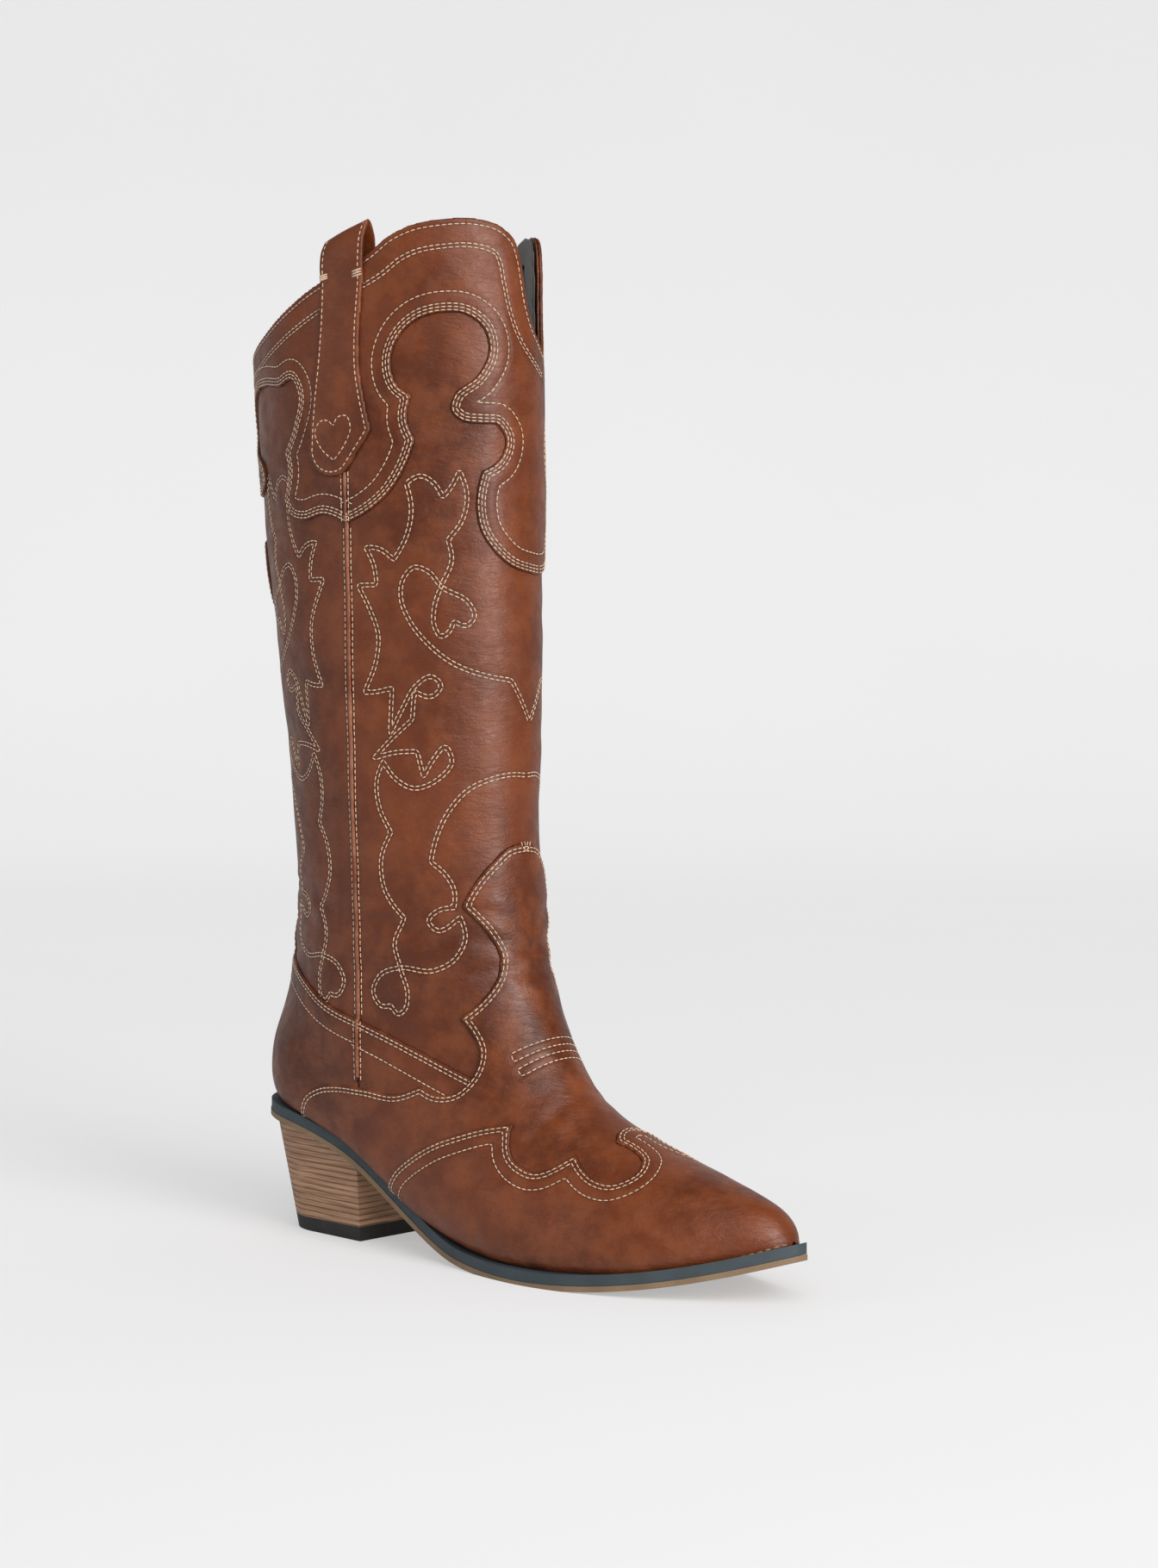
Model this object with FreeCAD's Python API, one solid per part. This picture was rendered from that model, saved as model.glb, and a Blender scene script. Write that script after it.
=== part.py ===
"""Tall western boot for the right foot, with stitched overlays, a stacked heel and an inside zip.

Millimetres, +Z up.  The origin is on the floor under the middle of the heel seat.
The toe points along +X, the outer (lateral) side of the boot faces -Y.
"""
import FreeCAD
import Part
import math
import os

Vec = FreeCAD.Vector

# ---------------------------------------------------------------- driving dimensions
TIP_X = 240.0                # foremost point of the sole
SEAT_RADIUS = 32.5           # heel seat, rounded at the back
SEAT_CENTRE_X = -10.0
OUTSOLE_THICK = 2.2
WELT_THICK = 4.2
WELT_STAND = 4.0             # the welt stands proud of the upper
WELT_WIDTH = 11.0
TOP_PIECE_THICK = 6.0
LIFT_COUNT = 8
LIFT_GAP = 0.04
AIR = 0.1                    # gap between pieces that touch on the real boot
BOARD_THICK = 2.0
SOCK_THICK = 1.2
SEAM_X = 38.0                # side seams and zip run up this line
TOP_CLEAR = 460.0            # safely above the boot
REACH = 600.0                # larger than the boot in every direction
OPEN_TOP = 5.0               # inner bodies run this far past the outer ones, so shells are open

# layers of the upper, as (inner, outer) distances from the last
GUARD = (-5.9, -5.1)
FACING = (-3.5, -2.6)
LINING = (-2.5, -1.6)
STIFFENER = (-1.5, -0.9)
BASE = (-0.8, 0.4)
OVERLAY = (0.5, 1.6)
TOP_OVERLAY = (1.7, 2.7)

# The last and shaft as a fan of sections: front point, back point, half widths on the
# lateral and medial side, place of the widest point and fullness towards front and back.
SECTIONS = [
    # front x, z   back x, z   lateral, medial  widest  front, back
    (94.0, 440.0, -54.0, 440.0, 47.5, 47.5, 0.50, 1.15, 1.10),
    (95.0, 380.0, -53.0, 380.0, 47.5, 47.5, 0.50, 1.15, 1.10),
    (95.5, 320.0, -48.5, 320.0, 47.0, 47.0, 0.50, 1.15, 1.10),
    (95.5, 255.0, -40.0, 255.0, 44.6, 44.6, 0.50, 1.15, 1.10),
    (95.5, 195.0, -30.5, 195.0, 42.2, 42.2, 0.50, 1.15, 1.10),
    (96.5, 150.0, -28.0, 142.0, 40.3, 40.3, 0.50, 1.15, 1.10),
    (101.5, 117.0, -33.0, 100.0, 38.9, 38.9, 0.50, 1.15, 1.05),
    (113.0, 91.0, -38.0, 57.0, 37.3, 37.3, 0.52, 1.15, 1.00),
    (129.0, 68.5, 35.0, 22.0, 37.5, 34.5, 0.58, 1.15, 0.80),
    (150.0, 55.0, 105.0, 1.0, 41.0, 37.5, 0.66, 1.15, 0.70),
    (175.0, 46.5, 163.0, -1.0, 38.0, 34.5, 0.70, 1.20, 0.70),
    (200.0, 39.8, 196.0, 7.0, 26.5, 23.5, 0.70, 1.20, 0.70),
    (217.0, 35.3, 215.0, 12.0, 16.0, 14.5, 0.68, 1.15, 0.70),
    (227.0, 30.5, 226.0, 15.5, 9.0, 8.5, 0.62, 1.10, 0.80),
    (231.5, 24.5, 231.0, 18.0, 4.0, 4.0, 0.60, 1.00, 0.90),
]
ROUND_STEPS = 28             # points round one section
STEPS_PER_SECTION = 2
TOE_GROWTH = {0: 1.0, 1: 0.8, 2: 0.5, 3: 0.2}   # share of a layer's offset that pushes the toe forward

# height of the top of the sole along the boot (the feather line)
SOLE_LINE = [(-60.0, 57.5), (-44.0, 56.5), (-20.0, 54.0), (8.0, 48.0), (28.0, 40.5), (50.0, 27.5),
             (70.0, 16.5), (90.0, 9.0), (110.0, 6.4), (150.0, 6.1), (180.0, 8.8), (210.0, 14.5),
             (TIP_X, 23.0), (250.0, 26.0)]
# half widths of the sole: x, lateral, medial
SOLE_WIDTHS = [(20.0, 32.5, 31.5), (50.0, 32.0, 30.0), (80.0, 36.0, 31.5), (110.0, 42.5, 37.0),
               (138.0, 46.0, 41.5), (165.0, 42.5, 38.5), (190.0, 34.5, 30.5), (210.0, 25.0, 22.5),
               (226.0, 16.0, 15.0), (236.0, 9.0, 9.0)]

# shank, bent along the waist
SHANK_FROM_X = 6.0
SHANK_TO_X = 94.0
SHANK_HALF_WIDTH = 7.0
SHANK_DEPTH = (1.0, 2.6)

# heel
HEEL_SEAT_Z = 50.0           # height at which the breast, back and half width below are given
HEEL_ABOVE_Z = 70.0          # the block is drawn this high, then cut to the seat
HEEL_BREAST_X = 27.0
HEEL_BREAST_FOOT_X = 24.0
HEEL_BACK_FOOT_X = -31.0
HEEL_FOOT_HALF_WIDTH = 24.0
HEEL_INSET = 1.5

# screw, nails and tacks of the heel, all upright
SCREW_RADIUS = 2.0
NAIL_RADIUS = 1.0
TACK_RADIUS = 0.7
FIXING_CLEAR = 0.15
FIXING_FOOT_Z = 17.0
SCREW_PLACES = [(0.0, 0.0)]
NAIL_PLACES = [(-26.0, 0.0), (-12.0, -16.0), (-12.0, 16.0), (14.0, -16.0), (14.0, 16.0)]
TACK_PLACES = [(-22.0, 0.0), (-10.0, -14.0), (-10.0, 14.0), (16.0, -16.0), (16.0, 16.0)]
TACK_TOP_Z = 12.0
TACK_RECESS = 0.6

# outlines on the upper, as seen from the side (x, z); each inner list is one smooth run
VAMP_EDGE = [
    [(-3.0, 40.0), (-1.0, 56.0), (4.0, 62.5), (13.0, 66.0), (23.0, 67.5), (41.0, 67.5), (60.0, 67.0),
     (72.0, 72.0)],
    [(72.0, 72.0), (79.0, 68.5), (87.0, 68.0), (94.0, 72.0), (97.0, 79.0), (94.0, 88.0), (85.0, 98.0)],
    [(85.0, 98.0), (92.0, 108.0), (96.0, 121.0), (92.0, 135.0), (84.0, 145.0)],
    [(84.0, 145.0), (88.0, 156.0), (93.0, 165.0), (102.0, 172.0)],
]
SHAFT_FOOT = [(-60.0, 112.0), (40.0, 82.0), (84.0, 64.0), (106.0, 72.0), (106.0, 112.0), (130.0, 118.0)]
WEDGE_TOP = [(-60.0, 130.0), (1.0, 110.0), (40.0, 95.0), (110.0, 71.0)]
TAB_HALF_WIDTH = 16.0
TAB_TOP_Z = 159.0
TOE_WING = [
    [(57.0, 0.0), (57.0, 30.0), (62.0, 38.0), (73.0, 46.0), (87.0, 52.0), (103.0, 56.0), (117.0, 58.0)],
]
# front edge of the toe overlay seen from above (x, distance from the middle)
TOE_SCALLOPS = [
    [(117.0, 29.0), (124.0, 32.0), (135.0, 33.0), (143.0, 30.0), (149.0, 23.0)],
    [(149.0, 23.0), (158.0, 27.0), (168.0, 26.0), (174.0, 15.0), (170.0, 10.0), (155.0, 12.0)],
    [(155.0, 12.0), (151.5, 4.0), (151.0, 0.0)],
]

# where the linings meet and the stiffeners end, seen from the side
GRIP_FRONT = [(-80.0, 104.0), (0.0, 88.0), (14.0, 20.0)]
VAMP_LINING_BACK = [(66.0, -30.0), (66.0, 60.0), (130.0, 110.0)]
COUNTER_FRONT = [(-80.0, 102.0), (30.0, 78.0), (52.0, 20.0)]
TOE_PUFF_X = 168.0
FACING_DEPTH = 30.0

# piping over the side seams
PIPING_RADIUS = 1.0
PIPING_SLOT = 1.3            # half width of the gap that the overlays leave for it
PIPING_STAND = BASE[1] + 1.15
PIPING_TOP_Z = 313.0
PIPING_LATERAL_FOOT_Z = 72.0
PIPING_POINTS = 7
STRAIGHT_BELOW_Z = 150.0     # below this the side seam is drawn as a straight line

# collar overlay edge: distance in front of the side seam, measured round the shaft, and height
COLLAR_EDGE = [
    [(0.0, 298.0), (18.0, 309.0), (33.0, 331.0)],
    [(33.0, 331.0), (26.5, 342.0), (31.0, 353.0)],
    [(31.0, 353.0), (23.5, 365.0), (35.0, 379.5), (51.0, 381.0), (59.5, 370.0), (48.0, 351.0), (48.0, 338.0),
     (61.0, 332.0)],
    [(61.0, 332.0), (63.5, 320.0), (54.0, 307.0)],
    [(54.0, 307.0), (58.0, 296.0), (68.0, 285.0), (88.0, 279.0)],
]
BACK_DROP = 24.0             # the back of the collar hangs lower
BACK_DROP_FROM = 12.0        # distance behind the seam where the drop begins
BACK_DROP_FULL = 34.0

# top edge: side view (x, z), then the dip in front and at the back seen from the front (y, z)
TOP_SIDE = [(110.0, 422.0), (80.0, 421.5), (58.0, 416.0), (38.0, 406.5), (22.0, 399.0), (-7.0, 389.0),
            (-25.0, 381.5), (-42.0, 376.0), (-60.0, 374.0)]
TOP_FRONT = [(0.0, 369.0), (3.5, 383.0), (5.0, 400.0), (9.0, 413.5), (17.0, 420.5), (30.0, 424.0)]
TOP_BACK = [(0.0, 362.0), (5.0, 366.0), (14.0, 374.5), (30.0, 381.0)]

# pull straps
STRAP_WIDTH_TOP = 27.0
STRAP_WIDTH_FOOT = 31.0
STRAP_FOOT_Z = 319.0
STRAP_SHOULDER_Z = 334.0
STRAP_LOOP_Z = 424.0
STRAP_THICK = 1.2
STRAP_INSIDE_Z = 372.0
STRAP_INSIDE_TOP_Z = 416.0   # the inside leg is beside the facing up to here
STRAP_CENTRE_X = 37.0
STRAP_LEVELS = [300.0, 330.0, 360.0, 392.0]

# zip; depths are measured outwards from the last
ZIP_TOP_Z = 240.0
ZIP_FOOT_Z = 76.0
ZIP_SLOT = 13.0              # opening in the leather
LINING_SLOT = 17.0           # opening in the lining and the stiffener
ZIP_PAST = 4.0               # the openings run this far past the ends of the zip
TAPE_HALF_WIDTH = 7.9
TAPE_THICK = 0.55
TAPE_BACK = BASE[0] - 2.6
COIL_INNER = 0.6             # half of the gap between the coil rows
COIL_OUTER = 3.1
COIL_PITCH = 2.0
COIL_RADIUS = 0.85
COIL_CENTRE = TAPE_BACK + TAPE_THICK + COIL_RADIUS + 0.1
STOP_LENGTH = 3.0
SLIDER_LENGTH = 11.0
SLIDER_WIDTH = 8.4
SLIDER_PLATE = 1.1
SLIDER_POST = 0.45           # half width of the post between the plates
SLIDER_POST_LENGTH = 4.0
SLIDER_FRONT = COIL_CENTRE + COIL_RADIUS + 0.25
SLIDER_BACK = TAPE_BACK - 0.15
SLIDER_REST = 152.5          # middle of the closed slider above the foot of the zip
LUG_FROM = 1.65              # inner face of each lug from the middle
LUG_THICK = 1.0
LUG_HALF_LENGTH = 1.7
PIN_Z = 2.5                  # pivot above the middle of the slider
PIN_RADIUS = 0.8
PIN_HOLD = 0.05              # gap round the pin in the lugs
PIVOT_CLEAR = 0.2
EYE_RADIUS = 1.7
PIN_OUT = SLIDER_FRONT + SLIDER_PLATE + EYE_RADIUS + PIVOT_CLEAR
PULL_LENGTH = 26.0
PULL_WIDTH = 6.0
PULL_THICK = 1.4
NECK_WIDTH = 3.0
NECK_LENGTH = 4.5
WINDOW_WIDTH = 3.2
WINDOW_LENGTH = 5.5
GUARD_HALF_WIDTH = 15.0
GUARD_PAST = 8.0


# ---------------------------------------------------------------- curves and prisms
def spline(points):
    """Smooth edge through the points; two points make a straight edge."""
    vectors = [Vec(*p) for p in points]
    if len(vectors) == 2:
        return Part.makeLine(vectors[0], vectors[1])
    curve = Part.BSplineCurve()
    curve.interpolate(vectors)
    return curve.toShape()


def side_face(runs, closing):
    """Face in the side view from smooth runs of (x, z) closed by straight lines."""
    edges = [spline([(x, 0.0, z) for x, z in run]) for run in runs]
    corners = [runs[-1][-1]] + closing + [runs[0][0]]
    for start, end in zip(corners[:-1], corners[1:]):
        edges.append(Part.makeLine(Vec(start[0], 0, start[1]), Vec(end[0], 0, end[1])))
    return Part.Face(Part.Wire(Part.__sortEdges__(edges)))


def side_prism(runs, closing, y_from=-80.0, y_to=80.0):
    """Prism along Y with the side-view outline."""
    face = side_face(runs, closing)
    face.translate(Vec(0, y_from, 0))
    return face.extrude(Vec(0, y_to - y_from, 0))


def front_prism(runs, closing, x_from, x_to):
    """Prism along X with an outline of (y, z) runs."""
    edges = [spline([(x_from, y, z) for y, z in run]) for run in runs]
    corners = [runs[-1][-1]] + closing + [runs[0][0]]
    for start, end in zip(corners[:-1], corners[1:]):
        edges.append(Part.makeLine(Vec(x_from, *start), Vec(x_from, *end)))
    face = Part.Face(Part.Wire(Part.__sortEdges__(edges)))
    return face.extrude(Vec(x_to - x_from, 0, 0))


def box(x0, x1, y0, y1, z0, z1):
    return Part.makeBox(x1 - x0, y1 - y0, z1 - z0, Vec(x0, y0, z0))


def between_x(x0, x1):
    return box(x0, x1, -REACH, REACH, -REACH, REACH)


def between_z(z0, z1):
    return box(-REACH, REACH, -REACH, REACH, z0, z1)


def one_side(side):
    """Everything on the lateral (-1) or medial (1) side of the middle plane."""
    return box(-REACH, REACH, min(0.0, side * REACH), max(0.0, side * REACH), -REACH, REACH)


def straight_runs(line, gap=0.0):
    """A broken line as straight runs, moved up and forwards by gap."""
    moved = [(x + gap, z + gap) for x, z in line]
    return [[a, b] for a, b in zip(moved[:-1], moved[1:])]


# ---------------------------------------------------------------- last and shaft surface
LAST_SECTION = float(len(SECTIONS) - 1)


def section_values(t):
    """The nine section numbers at any place t between two rows, by a smooth cubic blend."""
    index = min(int(t), len(SECTIONS) - 2)
    u = t - index
    before = SECTIONS[max(index - 1, 0)]
    start = SECTIONS[index]
    end = SECTIONS[index + 1]
    after = SECTIONS[min(index + 2, len(SECTIONS) - 1)]
    values = []
    for p0, p1, p2, p3 in zip(before, start, end, after):
        slope_start = (p2 - p0) / 2.0
        slope_end = (p3 - p1) / 2.0
        cubic = 2.0 * (p1 - p2) + slope_start + slope_end
        square = 3.0 * (p2 - p1) - 2.0 * slope_start - slope_end
        values.append(((cubic * u + square) * u + slope_start) * u + p1)
    return values


def last_point(t, angle, offset=0.0):
    """Point of section t; angle 0 is the front, 90 degrees the lateral side."""
    front_x, front_z, back_x, back_z, lateral, medial, widest, front_full, back_full = section_values(t)
    front = Vec(front_x, 0, front_z)
    back = Vec(back_x, 0, back_z)
    chord = back - front
    length = chord.Length
    across = math.cos(angle)
    if across >= 0:
        depth = widest * (1.0 - across ** front_full)
    else:
        depth = widest + (1.0 - widest) * (-across) ** back_full
    depth = (depth * (length + 2.0 * offset) - offset) / length
    width = (lateral if math.sin(angle) >= 0 else medial) + offset
    point = front + chord * depth
    return Vec(point.x, -width * math.sin(angle), point.z)


def last_body(offset, extra_top=0.0):
    """Solid of the foot and leg space, grown by offset."""
    steps = int(LAST_SECTION) * STEPS_PER_SECTION
    poles = []
    for i in range(steps + 1):
        row = [last_point(i / STEPS_PER_SECTION, 2.0 * math.pi * j / ROUND_STEPS, offset)
               for j in range(ROUND_STEPS)]
        if i == 0:
            row = [p + Vec(0, 0, extra_top) for p in row]
        forward = TOE_GROWTH.get(steps - i, 0.0) * offset
        row = [p + Vec(forward, 0, 0) for p in row]
        poles.append(row)
    inner_knots = steps - 2
    surface = Part.BSplineSurface()
    surface.buildFromPolesMultsKnots(
        poles, [4] + [1] * (inner_knots - 1) + [4], [1] * (ROUND_STEPS + 1),
        [float(k) for k in range(inner_knots + 1)], [float(k) for k in range(ROUND_STEPS + 1)],
        False, True, 3, 3)
    skin = surface.toShape()
    rims = [edge for edge in skin.Edges if edge.isClosed() and not edge.isSeam(skin.Faces[0])]
    caps = [Part.Face(Part.Wire([rim])) for rim in rims]
    shell = Part.makeShell([skin] + caps)
    shell.sewShape()
    solid = Part.makeSolid(shell)
    if solid.Volume < 0:
        solid.reverse()
    return solid


def section_at_height(z):
    """Section number whose front and back points stand at height z, on the shaft."""
    low = 0.0
    high = LAST_SECTION
    for _ in range(40):
        middle = (low + high) / 2.0
        if last_point(middle, math.pi / 2.0).z > z:
            low = middle
        else:
            high = middle
    return low


def angle_at(t, x):
    """Angle on the lateral side where section t passes x."""
    low = 0.0
    high = math.pi
    for _ in range(40):
        middle = (low + high) / 2.0
        if last_point(t, middle).x > x:
            low = middle
        else:
            high = middle
    return low


def side_y(x, z, offset):
    """Distance of the lateral skin from the middle plane on the shaft; the medial side is the same."""
    t = section_at_height(z)
    return -last_point(t, angle_at(t, x), offset).y


def round_the_shaft(distance, z):
    """Side-view x of a point at height z, measured round the shaft from the side seam."""
    t = section_at_height(z)
    angle = angle_at(t, SEAM_X)
    step = -0.01 if distance > 0 else 0.01
    travelled = 0.0
    point = last_point(t, angle, OVERLAY[0])
    while travelled < abs(distance) and 0.0 < angle < math.pi:
        angle += step
        following = last_point(t, angle, OVERLAY[0])
        travelled += (following - point).Length
        point = following
    return point.x


# ---------------------------------------------------------------- tools that trim the upper
def sole_curve(drop):
    """The sole line moved down by drop, square to the line."""
    top = Part.BSplineCurve()
    top.interpolate([Vec(x, 0, z) for x, z in SOLE_LINE])
    points = []
    for i in range(2 * len(SOLE_LINE) - 1):
        value = top.FirstParameter + (top.LastParameter - top.FirstParameter) * i / (2 * len(SOLE_LINE) - 2)
        along = top.tangent(value)[0]
        points.append(top.value(value) + Vec(along.z, 0, -along.x) * drop)
    curve = Part.BSplineCurve()
    curve.interpolate(points)
    return curve


def band_between(drop_top, drop_bottom, half_width=80.0):
    """Slab of the sole between two depths below the sole line."""
    upper = sole_curve(drop_top)
    lower = sole_curve(drop_bottom)
    edges = [upper.toShape(), lower.toShape(),
             Part.makeLine(upper.value(upper.FirstParameter), lower.value(lower.FirstParameter)),
             Part.makeLine(upper.value(upper.LastParameter), lower.value(lower.LastParameter))]
    face = Part.Face(Part.Wire(Part.__sortEdges__(edges)))
    face.translate(Vec(0, -half_width, 0))
    return face.extrude(Vec(0, 2.0 * half_width, 0))


def sole_wire(inset):
    """Plan outline of the sole, moved inwards by inset: round seat, waist, ball and snip toe."""
    radius = SEAT_RADIUS - inset
    seat = Part.Arc(Vec(SEAT_CENTRE_X, -radius, 0), Vec(SEAT_CENTRE_X - radius, 0, 0),
                    Vec(SEAT_CENTRE_X, radius, 0)).toShape()
    tip_x = TIP_X - inset
    tip_half = max(4.5 - 0.3 * inset, 1.5)
    tip = Part.Arc(Vec(tip_x - 1.5, -tip_half, 0), Vec(tip_x, 0, 0), Vec(tip_x - 1.5, tip_half, 0)).toShape()
    shrink = inset * 1.12
    edges = [seat, tip]
    for side, column in ((-1.0, 1), (1.0, 2)):
        points = [Vec(SEAT_CENTRE_X, side * radius, 0)]
        for row in SOLE_WIDTHS:
            if row[0] < tip_x - 4.0 and row[column] > shrink + tip_half:
                points.append(Vec(row[0], side * (row[column] - inset * (1.12 if row[0] > 160 else 1.0)), 0))
        points.append(Vec(tip_x - 1.5, side * tip_half, 0))
        edge = Part.BSplineCurve()
        edge.interpolate(points)
        edges.append(edge.toShape())
    return Part.Wire(Part.__sortEdges__(edges))


def sole_prism(inset):
    face = Part.Face(sole_wire(inset))
    face.translate(Vec(0, 0, -20))
    return face.extrude(Vec(0, 0, 120))


def under_sole_line(lift=AIR):
    """Everything below the upper's lower edge."""
    return band_between(-lift, 60.0)


def above_top_edge(drop=0.0):
    """Tools that trim the top: sloping side arches and the dips at front and back."""
    side = side_prism([[(x, z - drop) for x, z in TOP_SIDE]], [(-60.0, TOP_CLEAR), (110.0, TOP_CLEAR)])
    tools = [side]
    for profile, x_from, x_to in ((TOP_FRONT, 62.0, 130.0), (TOP_BACK, -90.0, -20.0)):
        run = [(-y, z - drop) for y, z in reversed(profile)] + [(y, z - drop) for y, z in profile[1:]]
        left = run[0]
        right = run[-1]
        tools.append(front_prism([run], [(right[0], TOP_CLEAR), (left[0], TOP_CLEAR)], x_from, x_to))
    return tools


def layer(inner, outer, extra_tools=()):
    """Shell of the upper between two distances from the last, trimmed at the top and the sole."""
    shell = last_body(outer).cut(last_body(inner, OPEN_TOP))
    return shell.cut(above_top_edge() + [under_sole_line()] + list(extra_tools))


# ---------------------------------------------------------------- zip geometry
ZIP_Y_TOP = side_y(SEAM_X, ZIP_TOP_Z, 0.0)
ZIP_Y_FOOT = side_y(SEAM_X, ZIP_FOOT_Z, 0.0)
ZIP_LEAN = math.atan2(ZIP_Y_TOP - ZIP_Y_FOOT, ZIP_TOP_Z - ZIP_FOOT_Z)
ZIP_LENGTH = (ZIP_TOP_Z - ZIP_FOOT_Z) / math.cos(ZIP_LEAN)


def to_zip(shape):
    """Put a shape drawn with x across, y outwards and z up the zip in its place."""
    placed = shape.copy()
    placed.rotate(Vec(0, 0, 0), Vec(1, 0, 0), -math.degrees(ZIP_LEAN))
    placed.translate(Vec(SEAM_X, ZIP_Y_FOOT, ZIP_FOOT_Z))
    return placed


def zip_slot(width):
    """Tool for the opening along the zip on the medial side."""
    return to_zip(box(-width / 2.0, width / 2.0, -12.0, 12.0, -ZIP_PAST, ZIP_LENGTH + ZIP_PAST))


def side_box(side, x0, x1, y0, y1, z0, z1):
    """Box from x0 to x1 away from the middle of the zip, towards the front (1) or the back (-1)."""
    return box(min(side * x0, side * x1), max(side * x0, side * x1), y0, y1, z0, z1)


# ---------------------------------------------------------------- bottom of the boot
def make_outsole():
    slab = sole_prism(0.0).common(band_between(WELT_THICK + AIR, WELT_THICK + AIR + OUTSOLE_THICK))
    return slab.cut([between_z(-REACH, 0.0), heel_fixing_holes()])


def make_welt():
    rim = sole_prism(0.3).cut(sole_prism(WELT_WIDTH))
    return rim.common(band_between(0.0, WELT_THICK))


def make_bottom_filler():
    """Cork that levels the hollow inside the welt, with room for the shank."""
    core = sole_prism(WELT_WIDTH + AIR).common(band_between(AIR, WELT_THICK))
    half = SHANK_HALF_WIDTH + AIR
    bed = box(SHANK_FROM_X - AIR, SHANK_TO_X + AIR, -half, half, -REACH, REACH)
    return core.cut([bed, heel_fixing_holes()])


def make_shank():
    """Steel strip that stiffens the waist between heel and ball."""
    slab = band_between(SHANK_DEPTH[0], SHANK_DEPTH[1], SHANK_HALF_WIDTH)
    return slab.common(between_x(SHANK_FROM_X, SHANK_TO_X))


def inside_lining():
    return last_body(LINING[0] - AIR)


def make_insole_board():
    board = inside_lining().common(band_between(-AIR - BOARD_THICK, -AIR))
    return board.cut(heel_fixing_holes())


def make_sock_lining():
    drop = -AIR - BOARD_THICK - AIR
    return inside_lining().common(band_between(drop - SOCK_THICK, drop))


def heel_outline(z):
    """D-shaped plan of the heel at height z: straight breast, tapering sides, round back."""
    share = z / HEEL_SEAT_Z
    breast = HEEL_BREAST_FOOT_X + (HEEL_BREAST_X - HEEL_BREAST_FOOT_X) * share
    back_at_seat = SEAT_CENTRE_X - SEAT_RADIUS + HEEL_INSET
    back = HEEL_BACK_FOOT_X + (back_at_seat - HEEL_BACK_FOOT_X) * share
    half_at_seat = SEAT_RADIUS - 1.0 - HEEL_INSET
    half = HEEL_FOOT_HALF_WIDTH + (half_at_seat - HEEL_FOOT_HALF_WIDTH) * share
    turn_x = -6.0 - 4.0 * share
    turn_half = half - 2.5 + 1.5 * share
    side_a = Part.makeLine(Vec(breast, -half, z), Vec(turn_x, -turn_half, z))
    side_b = Part.makeLine(Vec(turn_x, turn_half, z), Vec(breast, half, z))
    breast_line = Part.makeLine(Vec(breast, half, z), Vec(breast, -half, z))
    round_steps = 12
    angles = [math.pi * k / round_steps for k in range(round_steps + 1)]
    curve = Part.BSplineCurve()
    depth = turn_x - back
    curve.interpolate([Vec(turn_x - depth * math.sin(a), -turn_half * math.cos(a), z) for a in angles])
    return Part.Wire([side_a, curve.toShape(), side_b, breast_line])


def heel_block():
    block = Part.makeLoft([heel_outline(0.0), heel_outline(HEEL_ABOVE_Z)], True, True)
    return block.cut(band_between(-40.0, WELT_THICK + 2.0 * AIR + OUTSOLE_THICK))


def board_top(x):
    """Height just inside the top of the insole board."""
    curve = Part.BSplineCurve()
    curve.interpolate([Vec(px, 0, pz) for px, pz in SOLE_LINE])
    line = Part.makeLine(Vec(x, 0, -REACH), Vec(x, 0, REACH))
    points = curve.toShape().distToShape(line)[1]
    return points[0][0].z + BOARD_THICK * 0.8


def heel_fixing(radius, places):
    """Upright pins from the insole board down into the heel lifts, one at each place."""
    pins = [Part.makeCylinder(radius, board_top(x) - FIXING_FOOT_Z, Vec(x, y, FIXING_FOOT_Z))
            for x, y in places]
    return Part.makeCompound(pins)


def heel_fixing_holes():
    foot = FIXING_FOOT_Z - FIXING_CLEAR
    holes = [Part.makeCylinder(radius + FIXING_CLEAR, REACH, Vec(x, y, foot))
             for radius, places in ((SCREW_RADIUS, SCREW_PLACES), (NAIL_RADIUS, NAIL_PLACES))
             for x, y in places]
    return Part.makeCompound(holes)


def tack_group(radius, from_z, to_z):
    return Part.makeCompound([Part.makeCylinder(radius, to_z - from_z, Vec(x, y, from_z))
                              for x, y in TACK_PLACES])


def tack_holes():
    return tack_group(TACK_RADIUS + FIXING_CLEAR, -1.0, TACK_TOP_Z + FIXING_CLEAR)


def make_heel_lifts():
    """Stacked lifts, level and numbered from the floor up; the top one is cut to the seat."""
    block = heel_block().cut([heel_fixing_holes(), tack_holes()])
    pitch = (HEEL_SEAT_Z - TOP_PIECE_THICK) / LIFT_COUNT
    lifts = {}
    for index in range(LIFT_COUNT):
        z0 = TOP_PIECE_THICK + index * pitch
        z1 = HEEL_ABOVE_Z if index == LIFT_COUNT - 1 else z0 + pitch
        lifts["heel_lift_%d" % (index + 1)] = block.common(between_z(z0 + LIFT_GAP, z1))
    return lifts


def make_top_piece():
    slab = heel_block().common(between_z(0.0, TOP_PIECE_THICK))
    return slab.cut(tack_holes())


# ---------------------------------------------------------------- panels of the upper
def below_vamp_edge():
    return side_prism(VAMP_EDGE, [(REACH, 172.0), (REACH, -30.0), (-3.0, -30.0)])


def behind_vamp_edge():
    """Tool that trims the pieces behind the vamp, a little away from it."""
    tool = below_vamp_edge()
    moved = below_vamp_edge()
    moved.translate(Vec(-AIR, 0, AIR))
    return [tool, moved]


def below_wedge_line():
    return side_prism([WEDGE_TOP], [(110.0, -30.0), (-60.0, -30.0)])


def below_shaft_foot(lift=0.0):
    """The shaft panels end under the foot pieces, with a lap of about ten millimetres."""
    line = [(x, z + lift) for x, z in SHAFT_FOOT]
    return side_prism(straight_runs(line), [(REACH, line[-1][1]), (REACH, -30.0), (line[0][0], -30.0)])


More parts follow.
